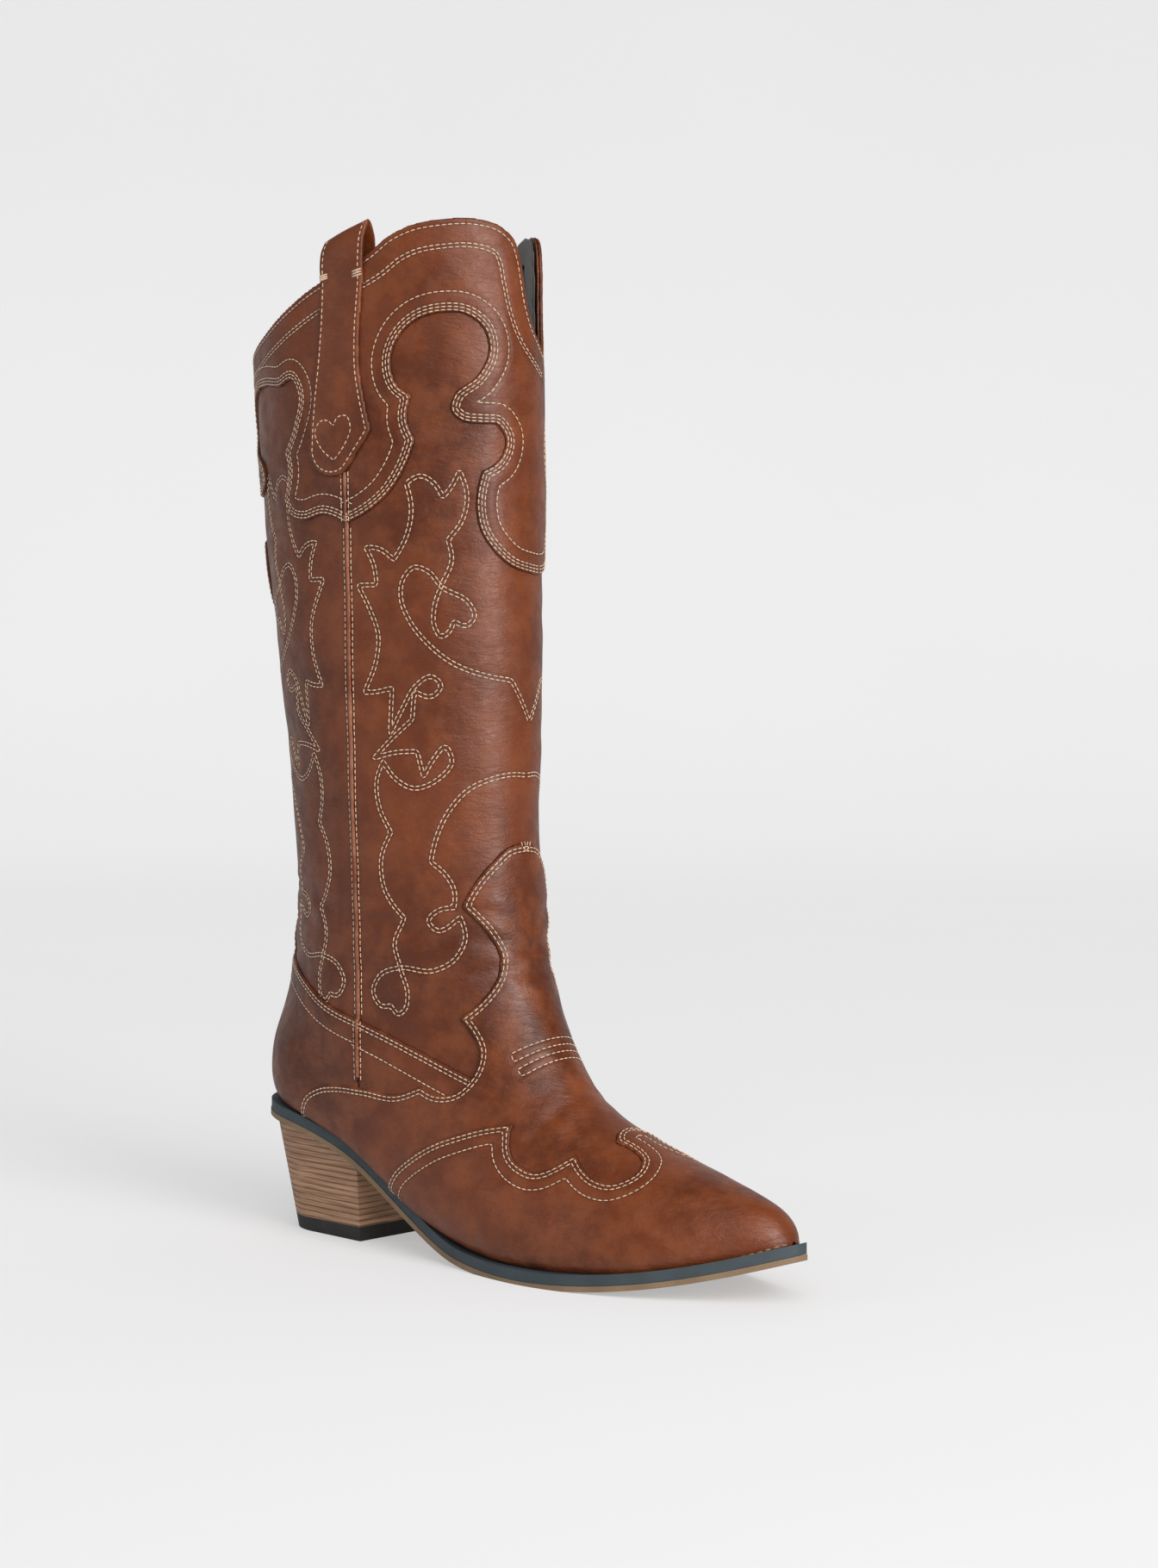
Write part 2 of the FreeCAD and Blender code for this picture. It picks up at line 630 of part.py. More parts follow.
def in_front_of_seam(gap):
    return between_x(SEAM_X + gap, REACH)


def behind_seam(gap):
    return between_x(-REACH, SEAM_X - gap)


def collar_region(side):
    """Prism above the collar overlay edge, in front of (side 1) or behind (side -1) the seam."""
    runs = []
    for run in COLLAR_EDGE:
        mapped = []
        for distance, z in run:
            if side < 0:
                share = (distance - BACK_DROP_FROM) / (BACK_DROP_FULL - BACK_DROP_FROM)
                z -= BACK_DROP * min(max(share, 0.0), 1.0)
            mapped.append((round_the_shaft(side * distance, z), z))
        runs.append(mapped)
    end = runs[-1][-1]
    runs[-1][-1] = (end[0] + 12.0 * side, end[1])
    far = runs[-1][-1][0]
    return side_prism(runs, [(far, TOP_CLEAR), (runs[0][0][0], TOP_CLEAR)])


def back_tab():
    """Tall tab of the counter cover that climbs the back of the shaft."""
    half = TAB_HALF_WIDTH
    run = [(half, TAB_TOP_Z - 12.0), (half * 0.7, TAB_TOP_Z - 3.0), (0.0, TAB_TOP_Z),
           (-half * 0.7, TAB_TOP_Z - 3.0), (-half, TAB_TOP_Z - 12.0)]
    return front_prism([run], [(-half - 4.0, 60.0), (half + 4.0, 60.0)], -80.0, -5.0)


def toe_region():
    """Where the toe overlay lies: side wings, and the scalloped front seen from above."""
    wing_x = TOE_WING[-1][-1][0]
    wing = side_prism(TOE_WING, [(wing_x, 0.0)])
    lateral = [[(x, -y) for x, y in run] for run in TOE_SCALLOPS]
    medial = [[(x, y) for x, y in reversed(run)] for run in reversed(TOE_SCALLOPS)]
    edges = [spline([(x, y, -30.0) for x, y in run]) for run in lateral + medial]
    half = TOE_SCALLOPS[0][0][1]
    corners = [(wing_x, half), (wing_x, REACH), (REACH, REACH), (REACH, -REACH), (wing_x, -REACH),
               (wing_x, -half)]
    for start, end in zip(corners[:-1], corners[1:]):
        edges.append(Part.makeLine(Vec(start[0], start[1], -30), Vec(end[0], end[1], -30)))
    front = Part.Face(Part.Wire(Part.__sortEdges__(edges))).extrude(Vec(0, 0, 120))
    return wing.fuse(front)


def make_upper():
    zip_opening = zip_slot(ZIP_SLOT)
    base = layer(*BASE)
    overlay = layer(*OVERLAY)
    shaft = base.cut([below_shaft_foot(AIR), zip_opening])
    quarter = overlay.cut(behind_vamp_edge() + [zip_opening])
    counter_shape = below_wedge_line().fuse(back_tab())
    wedges = quarter.common(below_wedge_line()).common(in_front_of_seam(PIPING_SLOT))
    return {
        "shaft_front": shaft.common(in_front_of_seam(AIR)),
        "shaft_back": shaft.common(behind_seam(AIR)),
        "foot_interlining": base.common(below_shaft_foot()).cut(zip_opening),
        "vamp": overlay.common(below_vamp_edge()),
        "counter_cover": quarter.common(counter_shape).common(behind_seam(PIPING_SLOT)),
        "wedge_lateral": wedges.common(one_side(-1.0)),
        "wedge_medial": wedges.common(one_side(1.0)),
        "collar_overlay_front": overlay.common(collar_region(1)).common(in_front_of_seam(PIPING_SLOT)),
        "collar_overlay_back": overlay.common(collar_region(-1)).common(behind_seam(PIPING_SLOT)),
        "toe_overlay": layer(*TOP_OVERLAY).common(toe_region()),
    }


def seam_y(z):
    """Distance of the side seam from the middle plane."""
    if z > STRAIGHT_BELOW_Z:
        return side_y(SEAM_X, z, 0.0)
    share = (z - ZIP_FOOT_Z) / (STRAIGHT_BELOW_Z - ZIP_FOOT_Z)
    return ZIP_Y_FOOT + (side_y(SEAM_X, STRAIGHT_BELOW_Z, 0.0) - ZIP_Y_FOOT) * share


def make_piping(side, z_from, z_to):
    """Raised cord along a side seam."""
    heights = [z_from + (z_to - z_from) * i / (PIPING_POINTS - 1) for i in range(PIPING_POINTS)]
    points = [Vec(SEAM_X, side * (seam_y(z) + PIPING_STAND), z) for z in heights]
    curve = Part.BSplineCurve()
    curve.interpolate(points)
    along = curve.tangent(curve.FirstParameter)[0]
    circle = Part.Wire(Part.makeCircle(PIPING_RADIUS, points[0], along))
    return Part.Wire(curve.toShape()).makePipeShell([circle], True, False)


def make_linings():
    lining = layer(*LINING).cut(zip_slot(LINING_SLOT))
    grip_end = [(GRIP_FRONT[0][0], GRIP_FRONT[-1][1])]
    grip_zone = side_prism(straight_runs(GRIP_FRONT), grip_end)
    grip_cut = side_prism(straight_runs(GRIP_FRONT, AIR), [(GRIP_FRONT[0][0] - 1.0, 19.0)])
    vamp_zone = side_prism(straight_runs(VAMP_LINING_BACK), [(REACH, 110.0), (REACH, -30.0)])
    vamp_cut = vamp_zone.copy()
    vamp_cut.translate(Vec(-AIR, 0, AIR))
    return {
        "heel_grip": lining.common(grip_zone),
        "vamp_lining": lining.common(vamp_zone),
        "shaft_lining": lining.cut([grip_zone, grip_cut, vamp_zone, vamp_cut]),
    }


def make_stiffeners():
    shell = layer(*STIFFENER, extra_tools=[zip_slot(LINING_SLOT)])
    counter_end = [(COUNTER_FRONT[0][0], COUNTER_FRONT[-1][1])]
    counter_zone = side_prism(straight_runs(COUNTER_FRONT), counter_end)
    return {
        "counter_stiffener": shell.common(counter_zone),
        "toe_puff": shell.common(between_x(TOE_PUFF_X, REACH)),
    }


def make_collar_facing():
    """Band of leather inside the top edge."""
    shell = layer(*FACING)
    parts = [shell.common(tool) for tool in above_top_edge(FACING_DEPTH)]
    return parts[0].fuse(parts[1:])


# ---------------------------------------------------------------- pull straps
def strap_profile(side):
    """Closed profile of the strap in the YZ plane: up the outside, over the top and down the inside."""
    fullest_x = STRAP_CENTRE_X - STRAP_WIDTH_FOOT / 2.0
    slackest_x = STRAP_CENTRE_X + STRAP_WIDTH_FOOT / 2.0
    outside = [(side_y(fullest_x, z, TOP_OVERLAY[0] + AIR), z) for z in STRAP_LEVELS]
    facing_y = min(side_y(slackest_x, z, FACING[0]) for z in (STRAP_INSIDE_Z, STRAP_INSIDE_TOP_Z))
    inner_y = facing_y - 6.0 * AIR - STRAP_THICK
    outer_y = outside[-1][0]
    radius = (outer_y - inner_y - STRAP_THICK) / 2.0
    centre_y = (outer_y + inner_y + STRAP_THICK) / 2.0
    arch_z = STRAP_LOOP_Z - radius - STRAP_THICK
    near_face = outside + [(outer_y, arch_z)]
    far_face = [(y + STRAP_THICK, z) for y, z in near_face]

    def edge(points):
        return spline([(0.0, side * y, z) for y, z in points])

    def arch(r):
        return Part.Arc(Vec(0, side * (centre_y + r), arch_z), Vec(0, side * centre_y, arch_z + r),
                        Vec(0, side * (centre_y - r), arch_z)).toShape()

    leg_out = centre_y - radius
    leg_in = leg_out - STRAP_THICK
    edges = [edge(near_face), edge(far_face), arch(radius), arch(radius + STRAP_THICK),
             edge([(leg_out, arch_z), (leg_out, STRAP_INSIDE_Z)]),
             edge([(leg_in, arch_z), (leg_in, STRAP_INSIDE_Z)]),
             edge([(leg_out, STRAP_INSIDE_Z), (leg_in, STRAP_INSIDE_Z)]),
             edge([near_face[0], far_face[0]])]
    return Part.Face(Part.Wire(Part.__sortEdges__(edges)))


def make_pull_strap(side):
    """Folded strap with straight sides and a blunt point at its foot."""
    reach = STRAP_WIDTH_FOOT
    body = strap_profile(side).extrude(Vec(2.0 * reach, 0, 0))
    body.translate(Vec(STRAP_CENTRE_X - reach, 0, 0))
    x = STRAP_CENTRE_X
    top = STRAP_WIDTH_TOP / 2.0
    foot = STRAP_WIDTH_FOOT / 2.0
    corner_z = STRAP_SHOULDER_Z - 8.0
    point_z = STRAP_FOOT_Z - 0.5
    runs = [
        [(x - top, TOP_CLEAR), (x - foot, STRAP_SHOULDER_Z)],
        [(x - foot, STRAP_SHOULDER_Z), (x - foot + 5.0, corner_z), (x - 3.0, point_z), (x + 3.0, point_z),
         (x + foot - 5.0, corner_z), (x + foot, STRAP_SHOULDER_Z)],
        [(x + foot, STRAP_SHOULDER_Z), (x + top, TOP_CLEAR)],
    ]
    return body.common(side_prism(runs, []))


# ---------------------------------------------------------------- zip pieces
def make_tape(side):
    tape = side_box(side, COIL_INNER, TAPE_HALF_WIDTH, TAPE_BACK, TAPE_BACK + TAPE_THICK,
                    -ZIP_PAST + 1.0, ZIP_LENGTH + ZIP_PAST - 1.0)
    return to_zip(tape)


def make_coil(side):
    """One row of the coil: a row of separate turns, closely spaced."""
    count = int((ZIP_LENGTH - 2.0 * STOP_LENGTH) / COIL_PITCH)
    turns = []
    for i in range(count):
        foot = Vec(side * COIL_INNER, COIL_CENTRE, STOP_LENGTH + (i + 0.5) * COIL_PITCH)
        turns.append(Part.makeCylinder(COIL_RADIUS, COIL_OUTER - COIL_INNER, foot, Vec(side, 0, 0)))
    return to_zip(Part.makeCompound(turns))


def make_stops():
    back = TAPE_BACK + TAPE_THICK + AIR
    low = ZIP_LENGTH - STOP_LENGTH + 0.2
    top = [side_box(side, COIL_INNER, COIL_OUTER, back, SLIDER_FRONT, low, ZIP_LENGTH)
           for side in (-1.0, 1.0)]
    foot = box(-COIL_OUTER, COIL_OUTER, back, SLIDER_FRONT, -0.5, STOP_LENGTH - 0.5)
    return {"zip_top_stops": to_zip(Part.makeCompound(top)), "zip_foot_stop": to_zip(foot)}


def make_slider():
    """Two plates joined by a post between the coil rows, with lugs for the pull pin."""
    half = SLIDER_WIDTH / 2.0
    z0 = SLIDER_REST - SLIDER_LENGTH / 2.0
    z1 = SLIDER_REST + SLIDER_LENGTH / 2.0
    pin_z = SLIDER_REST + PIN_Z
    body = box(-half, half, SLIDER_FRONT, SLIDER_FRONT + SLIDER_PLATE, z0, z1)
    back = box(-half, half, SLIDER_BACK - SLIDER_PLATE, SLIDER_BACK, z0, z1)
    post_top = z1 - 0.5
    post = box(-SLIDER_POST, SLIDER_POST, SLIDER_BACK - 0.2, SLIDER_FRONT + 0.2,
               post_top - SLIDER_POST_LENGTH, post_top)
    body = body.fuse([back, post])
    for side in (-1.0, 1.0):
        flange = side_box(side, COIL_OUTER + 0.25, half, TAPE_BACK + TAPE_THICK + 0.2, SLIDER_FRONT + 0.2,
                          z0, z1)
        lug = side_box(side, LUG_FROM, LUG_FROM + LUG_THICK, SLIDER_FRONT + 0.5, PIN_OUT + 1.5,
                       pin_z - LUG_HALF_LENGTH, pin_z + LUG_HALF_LENGTH)
        body = body.fuse([flange, lug])
    hole = Part.makeCylinder(PIN_RADIUS + PIN_HOLD, SLIDER_WIDTH, Vec(-half, PIN_OUT, pin_z), Vec(1, 0, 0))
    return to_zip(body.cut(hole))


def make_pull_pin():
    half = LUG_FROM + LUG_THICK
    start = Vec(-half, PIN_OUT, SLIDER_REST + PIN_Z)
    return to_zip(Part.makeCylinder(PIN_RADIUS, 2.0 * half, start, Vec(1, 0, 0)))


def make_pull():
    """Tab with a round eye and a window; hangs straight down from the pin."""
    pin_z = SLIDER_REST + PIN_Z
    neck = NECK_WIDTH / 2.0
    y0 = PIN_OUT - PULL_THICK / 2.0
    y1 = PIN_OUT + PULL_THICK / 2.0
    plate_top = pin_z - NECK_LENGTH
    eye = Part.makeCylinder(EYE_RADIUS, NECK_WIDTH, Vec(-neck, PIN_OUT, pin_z), Vec(1, 0, 0))
    stem = box(-neck, neck, y0, y1, plate_top - 1.5, pin_z)
    plate = box(-PULL_WIDTH / 2.0, PULL_WIDTH / 2.0, y0, y1, pin_z - PULL_LENGTH, plate_top)
    window = box(-WINDOW_WIDTH / 2.0, WINDOW_WIDTH / 2.0, y0 - 1.0, y1 + 1.0,
                 plate_top - 3.0 - WINDOW_LENGTH, plate_top - 3.0)
    tab = eye.fuse([stem, plate]).cut(window)
    hole = Part.makeCylinder(PIN_RADIUS + PIVOT_CLEAR, SLIDER_WIDTH, Vec(-SLIDER_WIDTH / 2.0, PIN_OUT, pin_z),
                             Vec(1, 0, 0))
    return to_zip(tab.cut(hole))


def make_zip_guard():
    """Leather flap behind the zip that keeps it off the leg."""
    strip = box(-GUARD_HALF_WIDTH, GUARD_HALF_WIDTH, -14.0, 14.0, -GUARD_PAST, ZIP_LENGTH + GUARD_PAST)
    return last_body(GUARD[1]).common(to_zip(strip)).cut(last_body(GUARD[0], OPEN_TOP))


# ---------------------------------------------------------------- write the pieces
def main():
    os.makedirs("parts", exist_ok=True)
    pieces = {
        "outsole": make_outsole(),
        "welt": make_welt(),
        "bottom_filler": make_bottom_filler(),
        "shank": make_shank(),
        "insole_board": make_insole_board(),
        "sock_lining": make_sock_lining(),
        "heel_top_piece": make_top_piece(),
        "heel_screw": heel_fixing(SCREW_RADIUS, SCREW_PLACES),
        "heel_nails": heel_fixing(NAIL_RADIUS, NAIL_PLACES),
        "top_piece_tacks": tack_group(TACK_RADIUS, TACK_RECESS, TACK_TOP_Z),
        "piping_lateral": make_piping(-1.0, PIPING_LATERAL_FOOT_Z, PIPING_TOP_Z),
        "piping_medial": make_piping(1.0, ZIP_TOP_Z + ZIP_PAST + 4.0, PIPING_TOP_Z),
        "pull_strap_lateral": make_pull_strap(-1.0),
        "pull_strap_medial": make_pull_strap(1.0),
        "collar_facing": make_collar_facing(),
        "zip_tape_front": make_tape(1.0),
        "zip_tape_back": make_tape(-1.0),
        "zip_coil_front": make_coil(1.0),
        "zip_coil_back": make_coil(-1.0),
        "zip_slider": make_slider(),
        "zip_pull_pin": make_pull_pin(),
        "zip_pull": make_pull(),
        "zip_guard": make_zip_guard(),
    }
    pieces.update(make_heel_lifts())
    pieces.update(make_upper())
    pieces.update(make_linings())
    pieces.update(make_stiffeners())
    pieces.update(make_stops())
    for name, shape in sorted(pieces.items()):
        shape.exportStep("parts/%s.step" % name)
        print("%-22s %3d solids %10.1f mm3 valid %s" % (
            name, len(shape.Solids), sum(s.Volume for s in shape.Solids), shape.isValid()))


main()
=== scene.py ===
"""Looks of a tall western boot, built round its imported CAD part.

The leather is rebuilt as thin panels on the same smooth last and shaft surface that the CAD
uses, with rounded raised edges, stitch grooves and real stitches.  Shapes are drawn in
millimetres and turned into metres when a mesh is made.  The boot's toe points along +X and
its outer (lateral) side faces -Y.
"""

import math

import bpy
import numpy as np
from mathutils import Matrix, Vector
from mathutils.bvhtree import BVHTree
from mathutils.kdtree import KDTree


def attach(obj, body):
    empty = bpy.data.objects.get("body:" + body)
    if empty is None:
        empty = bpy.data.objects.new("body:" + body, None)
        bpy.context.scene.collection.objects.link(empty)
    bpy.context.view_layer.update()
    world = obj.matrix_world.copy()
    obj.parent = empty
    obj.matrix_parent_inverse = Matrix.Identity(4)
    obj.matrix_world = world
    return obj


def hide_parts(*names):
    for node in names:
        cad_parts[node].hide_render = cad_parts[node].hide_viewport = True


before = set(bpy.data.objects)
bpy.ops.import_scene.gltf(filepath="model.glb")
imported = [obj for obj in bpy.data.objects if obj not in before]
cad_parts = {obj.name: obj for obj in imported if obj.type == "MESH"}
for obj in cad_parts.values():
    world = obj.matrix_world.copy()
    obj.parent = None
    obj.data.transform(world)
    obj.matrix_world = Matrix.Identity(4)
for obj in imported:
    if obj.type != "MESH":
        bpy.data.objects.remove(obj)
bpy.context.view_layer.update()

MM = 0.001
LATERAL = -1.0
MEDIAL = 1.0
SEAM_X = 38.0

# ---------------------------------------------------------------- the surface under the leather
# front point (x, z), back point (x, z), lateral and medial half width,
# place of the widest point, fullness in front of it and behind it
SECTIONS = [
    (94.0, 440.0, -54.0, 440.0, 47.5, 47.5, 0.50, 1.15, 1.10),
    (95.0, 380.0, -53.0, 380.0, 47.5, 47.5, 0.50, 1.15, 1.10),
    (95.5, 320.0, -48.5, 320.0, 47.0, 47.0, 0.50, 1.15, 1.10),
    (95.5, 255.0, -40.0, 255.0, 44.6, 44.6, 0.50, 1.15, 1.10),
    (95.5, 195.0, -30.5, 195.0, 42.2, 42.2, 0.50, 1.15, 1.10),
    (96.5, 150.0, -28.0, 142.0, 40.3, 40.3, 0.50, 1.15, 1.10),
    (101.5, 117.0, -33.0, 100.0, 38.9, 38.9, 0.50, 1.15, 1.05),
    (113.0, 91.0, -38.0, 57.0, 37.3, 37.3, 0.52, 1.15, 1.00),
    (129.0, 68.5, 35.0, 22.0, 37.5, 34.5, 0.58, 1.15, 0.80),
    (150.0, 55.0, 105.0, 1.0, 41.0, 37.5, 0.66, 1.15, 0.70),
    (175.0, 46.5, 163.0, -1.0, 38.0, 34.5, 0.70, 1.20, 0.70),
    (200.0, 39.8, 196.0, 7.0, 26.5, 23.5, 0.70, 1.20, 0.70),
    (217.0, 35.3, 215.0, 12.0, 16.0, 14.5, 0.68, 1.15, 0.70),
    (227.0, 30.5, 226.0, 15.5, 9.0, 8.5, 0.62, 1.10, 0.80),
    (231.5, 24.5, 231.0, 18.0, 4.0, 4.0, 0.60, 1.00, 0.90),
    (232.6, 22.0, 232.5, 20.0, 0.6, 0.6, 0.50, 1.00, 1.00),
]
ROUND_STEPS = 28
# where the upper meets the rand (x, z)
SOLE_LINE = [(-60.0, 57.5), (-44.0, 56.5), (-20.0, 54.0), (8.0, 48.0), (28.0, 40.5), (50.0, 27.5),
             (70.0, 16.5), (90.0, 9.0), (110.0, 6.4), (150.0, 6.1), (180.0, 8.8), (210.0, 14.5),
             (240.0, 23.0), (250.0, 26.0)]


def section_values(t):
    """Numbers of a section between the given ones; t counts the sections."""
    last = len(SECTIONS) - 1
    index = min(int(t), last - 1)
    u = t - index
    around = (max(index - 1, 0), index, index + 1, min(index + 2, last))
    rows = [np.array(SECTIONS[k]) for k in around]
    slope_start = (rows[2] - rows[0]) / 2.0
    slope_end = (rows[3] - rows[1]) / 2.0
    cubic = 2.0 * (rows[1] - rows[2]) + slope_start + slope_end
    square = 3.0 * (rows[2] - rows[1]) - 2.0 * slope_start - slope_end
    return ((cubic * u + square) * u + slope_start) * u + rows[1]


def section_ring(t):
    """Points round one section; the first is the front, then the lateral side."""
    front_x, front_z, back_x, back_z, lateral, medial, widest, front_full, back_full = section_values(t)
    angle = 2.0 * np.pi * np.arange(ROUND_STEPS) / ROUND_STEPS
    across = np.cos(angle)
    depth = np.where(across >= 0, widest * (1.0 - np.abs(across) ** front_full),
                     widest + (1.0 - widest) * np.abs(across) ** back_full)
    width = np.where(np.sin(angle) >= -1e-9, lateral, medial)
    return np.stack([front_x + (back_x - front_x) * depth, -width * np.sin(angle),
                     front_z + (back_z - front_z) * depth], -1)


POLES = np.array([section_ring(i / 2.0) for i in range(2 * len(SECTIONS) - 1)])
U_END = len(POLES) - 3.0


def open_basis(u):
    """Cubic B-spline weights of the sections at each value of u, clamped at both ends."""
    count = len(POLES)
    knots = np.concatenate([[0.0] * 3, np.arange(count - 2.0), [count - 3.0] * 3])
    u = np.clip(u, 0.0, count - 3.0 - 1e-9)
    weights = ((knots[:-1] <= u[:, None]) & (u[:, None] < knots[1:])).astype(float)
    for degree in (1, 2, 3):
        size = weights.shape[1] - 1
        raised = np.zeros((len(u), size))
        for k in range(size):
            if knots[k + degree] > knots[k]:
                raised[:, k] += (u - knots[k]) / (knots[k + degree] - knots[k]) * weights[:, k]
            if knots[k + degree + 1] > knots[k + 1]:
                raised[:, k] += ((knots[k + degree + 1] - u) / (knots[k + degree + 1] - knots[k + 1])
                                 * weights[:, k + 1])
        weights = raised
    return weights


def round_basis(angle):
    """Cubic B-spline weights round the section, closed on itself."""
    s = (np.asarray(angle) * ROUND_STEPS / (2.0 * np.pi)) % ROUND_STEPS
    index = np.floor(s).astype(int)
    f = s - index
    parts = [(1 - f) ** 3 / 6, (3 * f ** 3 - 6 * f ** 2 + 4) / 6, (-3 * f ** 3 + 3 * f ** 2 + 3 * f + 1) / 6,
             f ** 3 / 6]
    weights = np.zeros((len(s), ROUND_STEPS))
    for k, part in enumerate(parts):
        weights[np.arange(len(s)), (index - 1 + k) % ROUND_STEPS] += part
    return weights


def skin_grid(u, angle):
    """Surface points for every pair of u and angle, as rows and columns."""
    return np.einsum("iu,uvk,jv->ijk", open_basis(u), POLES, round_basis(angle), optimize=True)


def skin_at(u, angle):
    """Surface points for matching lists of u and angle."""
    rings = (open_basis(u) @ POLES.reshape(len(POLES), -1)).reshape(len(u), ROUND_STEPS, 3)
    return np.einsum("nv,nvk->nk", round_basis(angle), rings)


def unit(v):
    """Vectors scaled to length one."""
    return v / np.maximum(np.linalg.norm(v, axis=-1, keepdims=True), 1e-9)


def skin_normals(u, angle):
    """Outward unit normals for every pair of u and angle, by small steps along the surface."""
    step_u = 0.02
    step_a = 0.004
    inner_u = np.clip(u, step_u, U_END - step_u)
    along_u = skin_grid(inner_u + step_u, angle) - skin_grid(inner_u - step_u, angle)
    along_a = skin_grid(inner_u, angle + step_a) - skin_grid(inner_u, angle - step_a)
    return unit(np.cross(along_a, along_u))


def interpolate(curve, count):
    """Smooth curve through points by cubic Hermite pieces, as nearly even points."""
    p = np.array(curve, float)
    if len(p) == 2:
        t = np.linspace(0, 1, count)[:, None]
        return p[0] * (1 - t) + p[1] * t
    length = np.concatenate([[0], np.cumsum(np.linalg.norm(np.diff(p, axis=0), axis=1))])
    slopes = np.zeros_like(p)
    for i in range(1, len(p) - 1):
        before = (p[i] - p[i - 1]) / (length[i] - length[i - 1])
        after = (p[i + 1] - p[i]) / (length[i + 1] - length[i])
        share = (length[i] - length[i - 1]) / (length[i + 1] - length[i - 1])
        slopes[i] = before * (1 - share) + after * share
    first = (p[1] - p[0]) / (length[1] - length[0])
    last = (p[-1] - p[-2]) / (length[-1] - length[-2])
    slopes[0] = 1.5 * first - 0.5 * slopes[1]
    slopes[-1] = 1.5 * last - 0.5 * slopes[-2]
    at = np.linspace(0, length[-1], count)
    index = np.clip(np.searchsorted(length, at, side="right") - 1, 0, len(p) - 2)
    h = (length[index + 1] - length[index])[:, None]
    f = (at - length[index])[:, None] / h
    return ((2 * f ** 3 - 3 * f ** 2 + 1) * p[index] + (f ** 3 - 2 * f ** 2 + f) * h * slopes[index]
            + (-2 * f ** 3 + 3 * f ** 2) * p[index + 1] + (f ** 3 - f ** 2) * h * slopes[index + 1])


def joined(runs, step=0.5):
    """One line of points from smooth runs that meet in corners."""
    parts = []
    for run in runs:
        size = np.linalg.norm(np.diff(np.array(run, float), axis=0), axis=1).sum()
        points = interpolate(run, max(int(size / step), 3))
        parts.append(points if not parts else points[1:])
    return np.concatenate(parts)


SOLE_POINTS = interpolate(SOLE_LINE, 600)


def sole_z(x):
    """Height of the line where the upper meets the rand."""
    return np.interp(x, SOLE_POINTS[:, 0], SOLE_POINTS[:, 1])


# ---------------------------------------------------------------- distances round the shaft
CHART_Z = np.arange(20.0, 436.0, 1.0)
CHART_A = np.linspace(0.0, np.pi, 361)
CHART_U_END = 14.0           # the chart covers the shaft and the ankle


def build_chart():
    """For each height and angle on the lateral side: u, and the distance in front of the seam."""
    u = np.linspace(0.0, CHART_U_END, 700)
    grid = skin_grid(u, CHART_A)
    where = np.empty((len(CHART_Z), len(CHART_A)))
    for j in range(len(CHART_A)):
        z = grid[:, j, 2]
        stop = int(np.argmin(z)) + 1
        where[:, j] = np.interp(CHART_Z, z[:stop][::-1], u[:stop][::-1])
    angles = np.tile(CHART_A, len(CHART_Z))
    place = skin_at(where.ravel(), angles).reshape(len(CHART_Z), len(CHART_A), 3)
    run = np.concatenate([np.zeros((len(CHART_Z), 1)),
                          np.cumsum(np.linalg.norm(np.diff(place, axis=1), axis=2), axis=1)], axis=1)
    seam = np.array([np.interp(-SEAM_X, -place[i, :, 0], run[i]) for i in range(len(CHART_Z))])
    return where, seam[:, None] - run


CHART_U, CHART_S = build_chart()


def chart_step(value, axis):
    """Whole steps and the rest of a step at which a value lies along a chart axis."""
    steps = np.clip((value - axis[0]) / (axis[1] - axis[0]), 0, len(axis) - 1.001)
    return steps.astype(int), steps % 1.0


def from_chart(table, z, angle):
    """Values of a chart at matching lists of height and angle."""
    i, f = chart_step(z, CHART_Z)
    j, g = chart_step(angle, CHART_A)
    return ((1 - f) * ((1 - g) * table[i, j] + g * table[i, j + 1])
            + f * ((1 - g) * table[i + 1, j] + g * table[i + 1, j + 1]))


def distance_in_front(z, angle):
    """Distance in front of the side seam, round the shaft, of surface points."""
    folded = np.where(angle > np.pi, 2 * np.pi - angle, angle)
    return from_chart(CHART_S, z, folded)


def front_middle(z):
    """Distance from the seam to the middle plane, and from there to the middle of the pattern.

    The shaft is twisted a little, so the pattern's middle drifts to the medial side higher up."""
    drift = TWIST * np.maximum(np.asarray(z) - TWIST_FROM_Z, 0.0)
    return np.interp(z, CHART_Z, CHART_S[:, 0]), drift


def medial_twist(s, middle, drift):
    """How much nearer its seam a medial point of the pattern lies, because of the twist."""
    return 2.0 * drift * (np.clip(s, 0.0, None) / (middle + drift)) ** TWIST_POWER


def to_pattern(s, side, z):
    """The pattern's distance in front of the seam, from the real distance and side."""
    middle, drift = front_middle(z)
    over = (side == MEDIAL) & (2.0 * middle - s < middle + drift)
    medial = s.copy()
    for _ in range(TWIST_ROUNDS):
        medial = s + medial_twist(medial, middle, drift)
    return np.where(side == LATERAL, s, np.where(over, 2.0 * middle - s, medial))


# ---------------------------------------------------------------- putting curves on the surface
def coarse_surface():
    """Search tree of flat faces, for rays and nearest points."""
    u = np.linspace(0.0, U_END, 420)
    angle = np.linspace(0.0, 2 * np.pi, 241)
    points = skin_grid(u, angle)
    rows, columns = len(u), len(angle)
    index = np.arange(rows * columns).reshape(rows, columns)
    quads = np.stack([index[:-1, :-1], index[:-1, 1:], index[1:, 1:], index[1:, :-1]], -1).reshape(-1, 4)
    return BVHTree.FromPolygons([Vector(p) for p in points.reshape(-1, 3)], quads.tolist())


SURFACE = coarse_surface()


def nearest(point):
    """Nearest place on the surface, and its normal."""
    place, normal, _, _ = SURFACE.find_nearest(Vector(point))
    return np.array(place), np.array(normal)


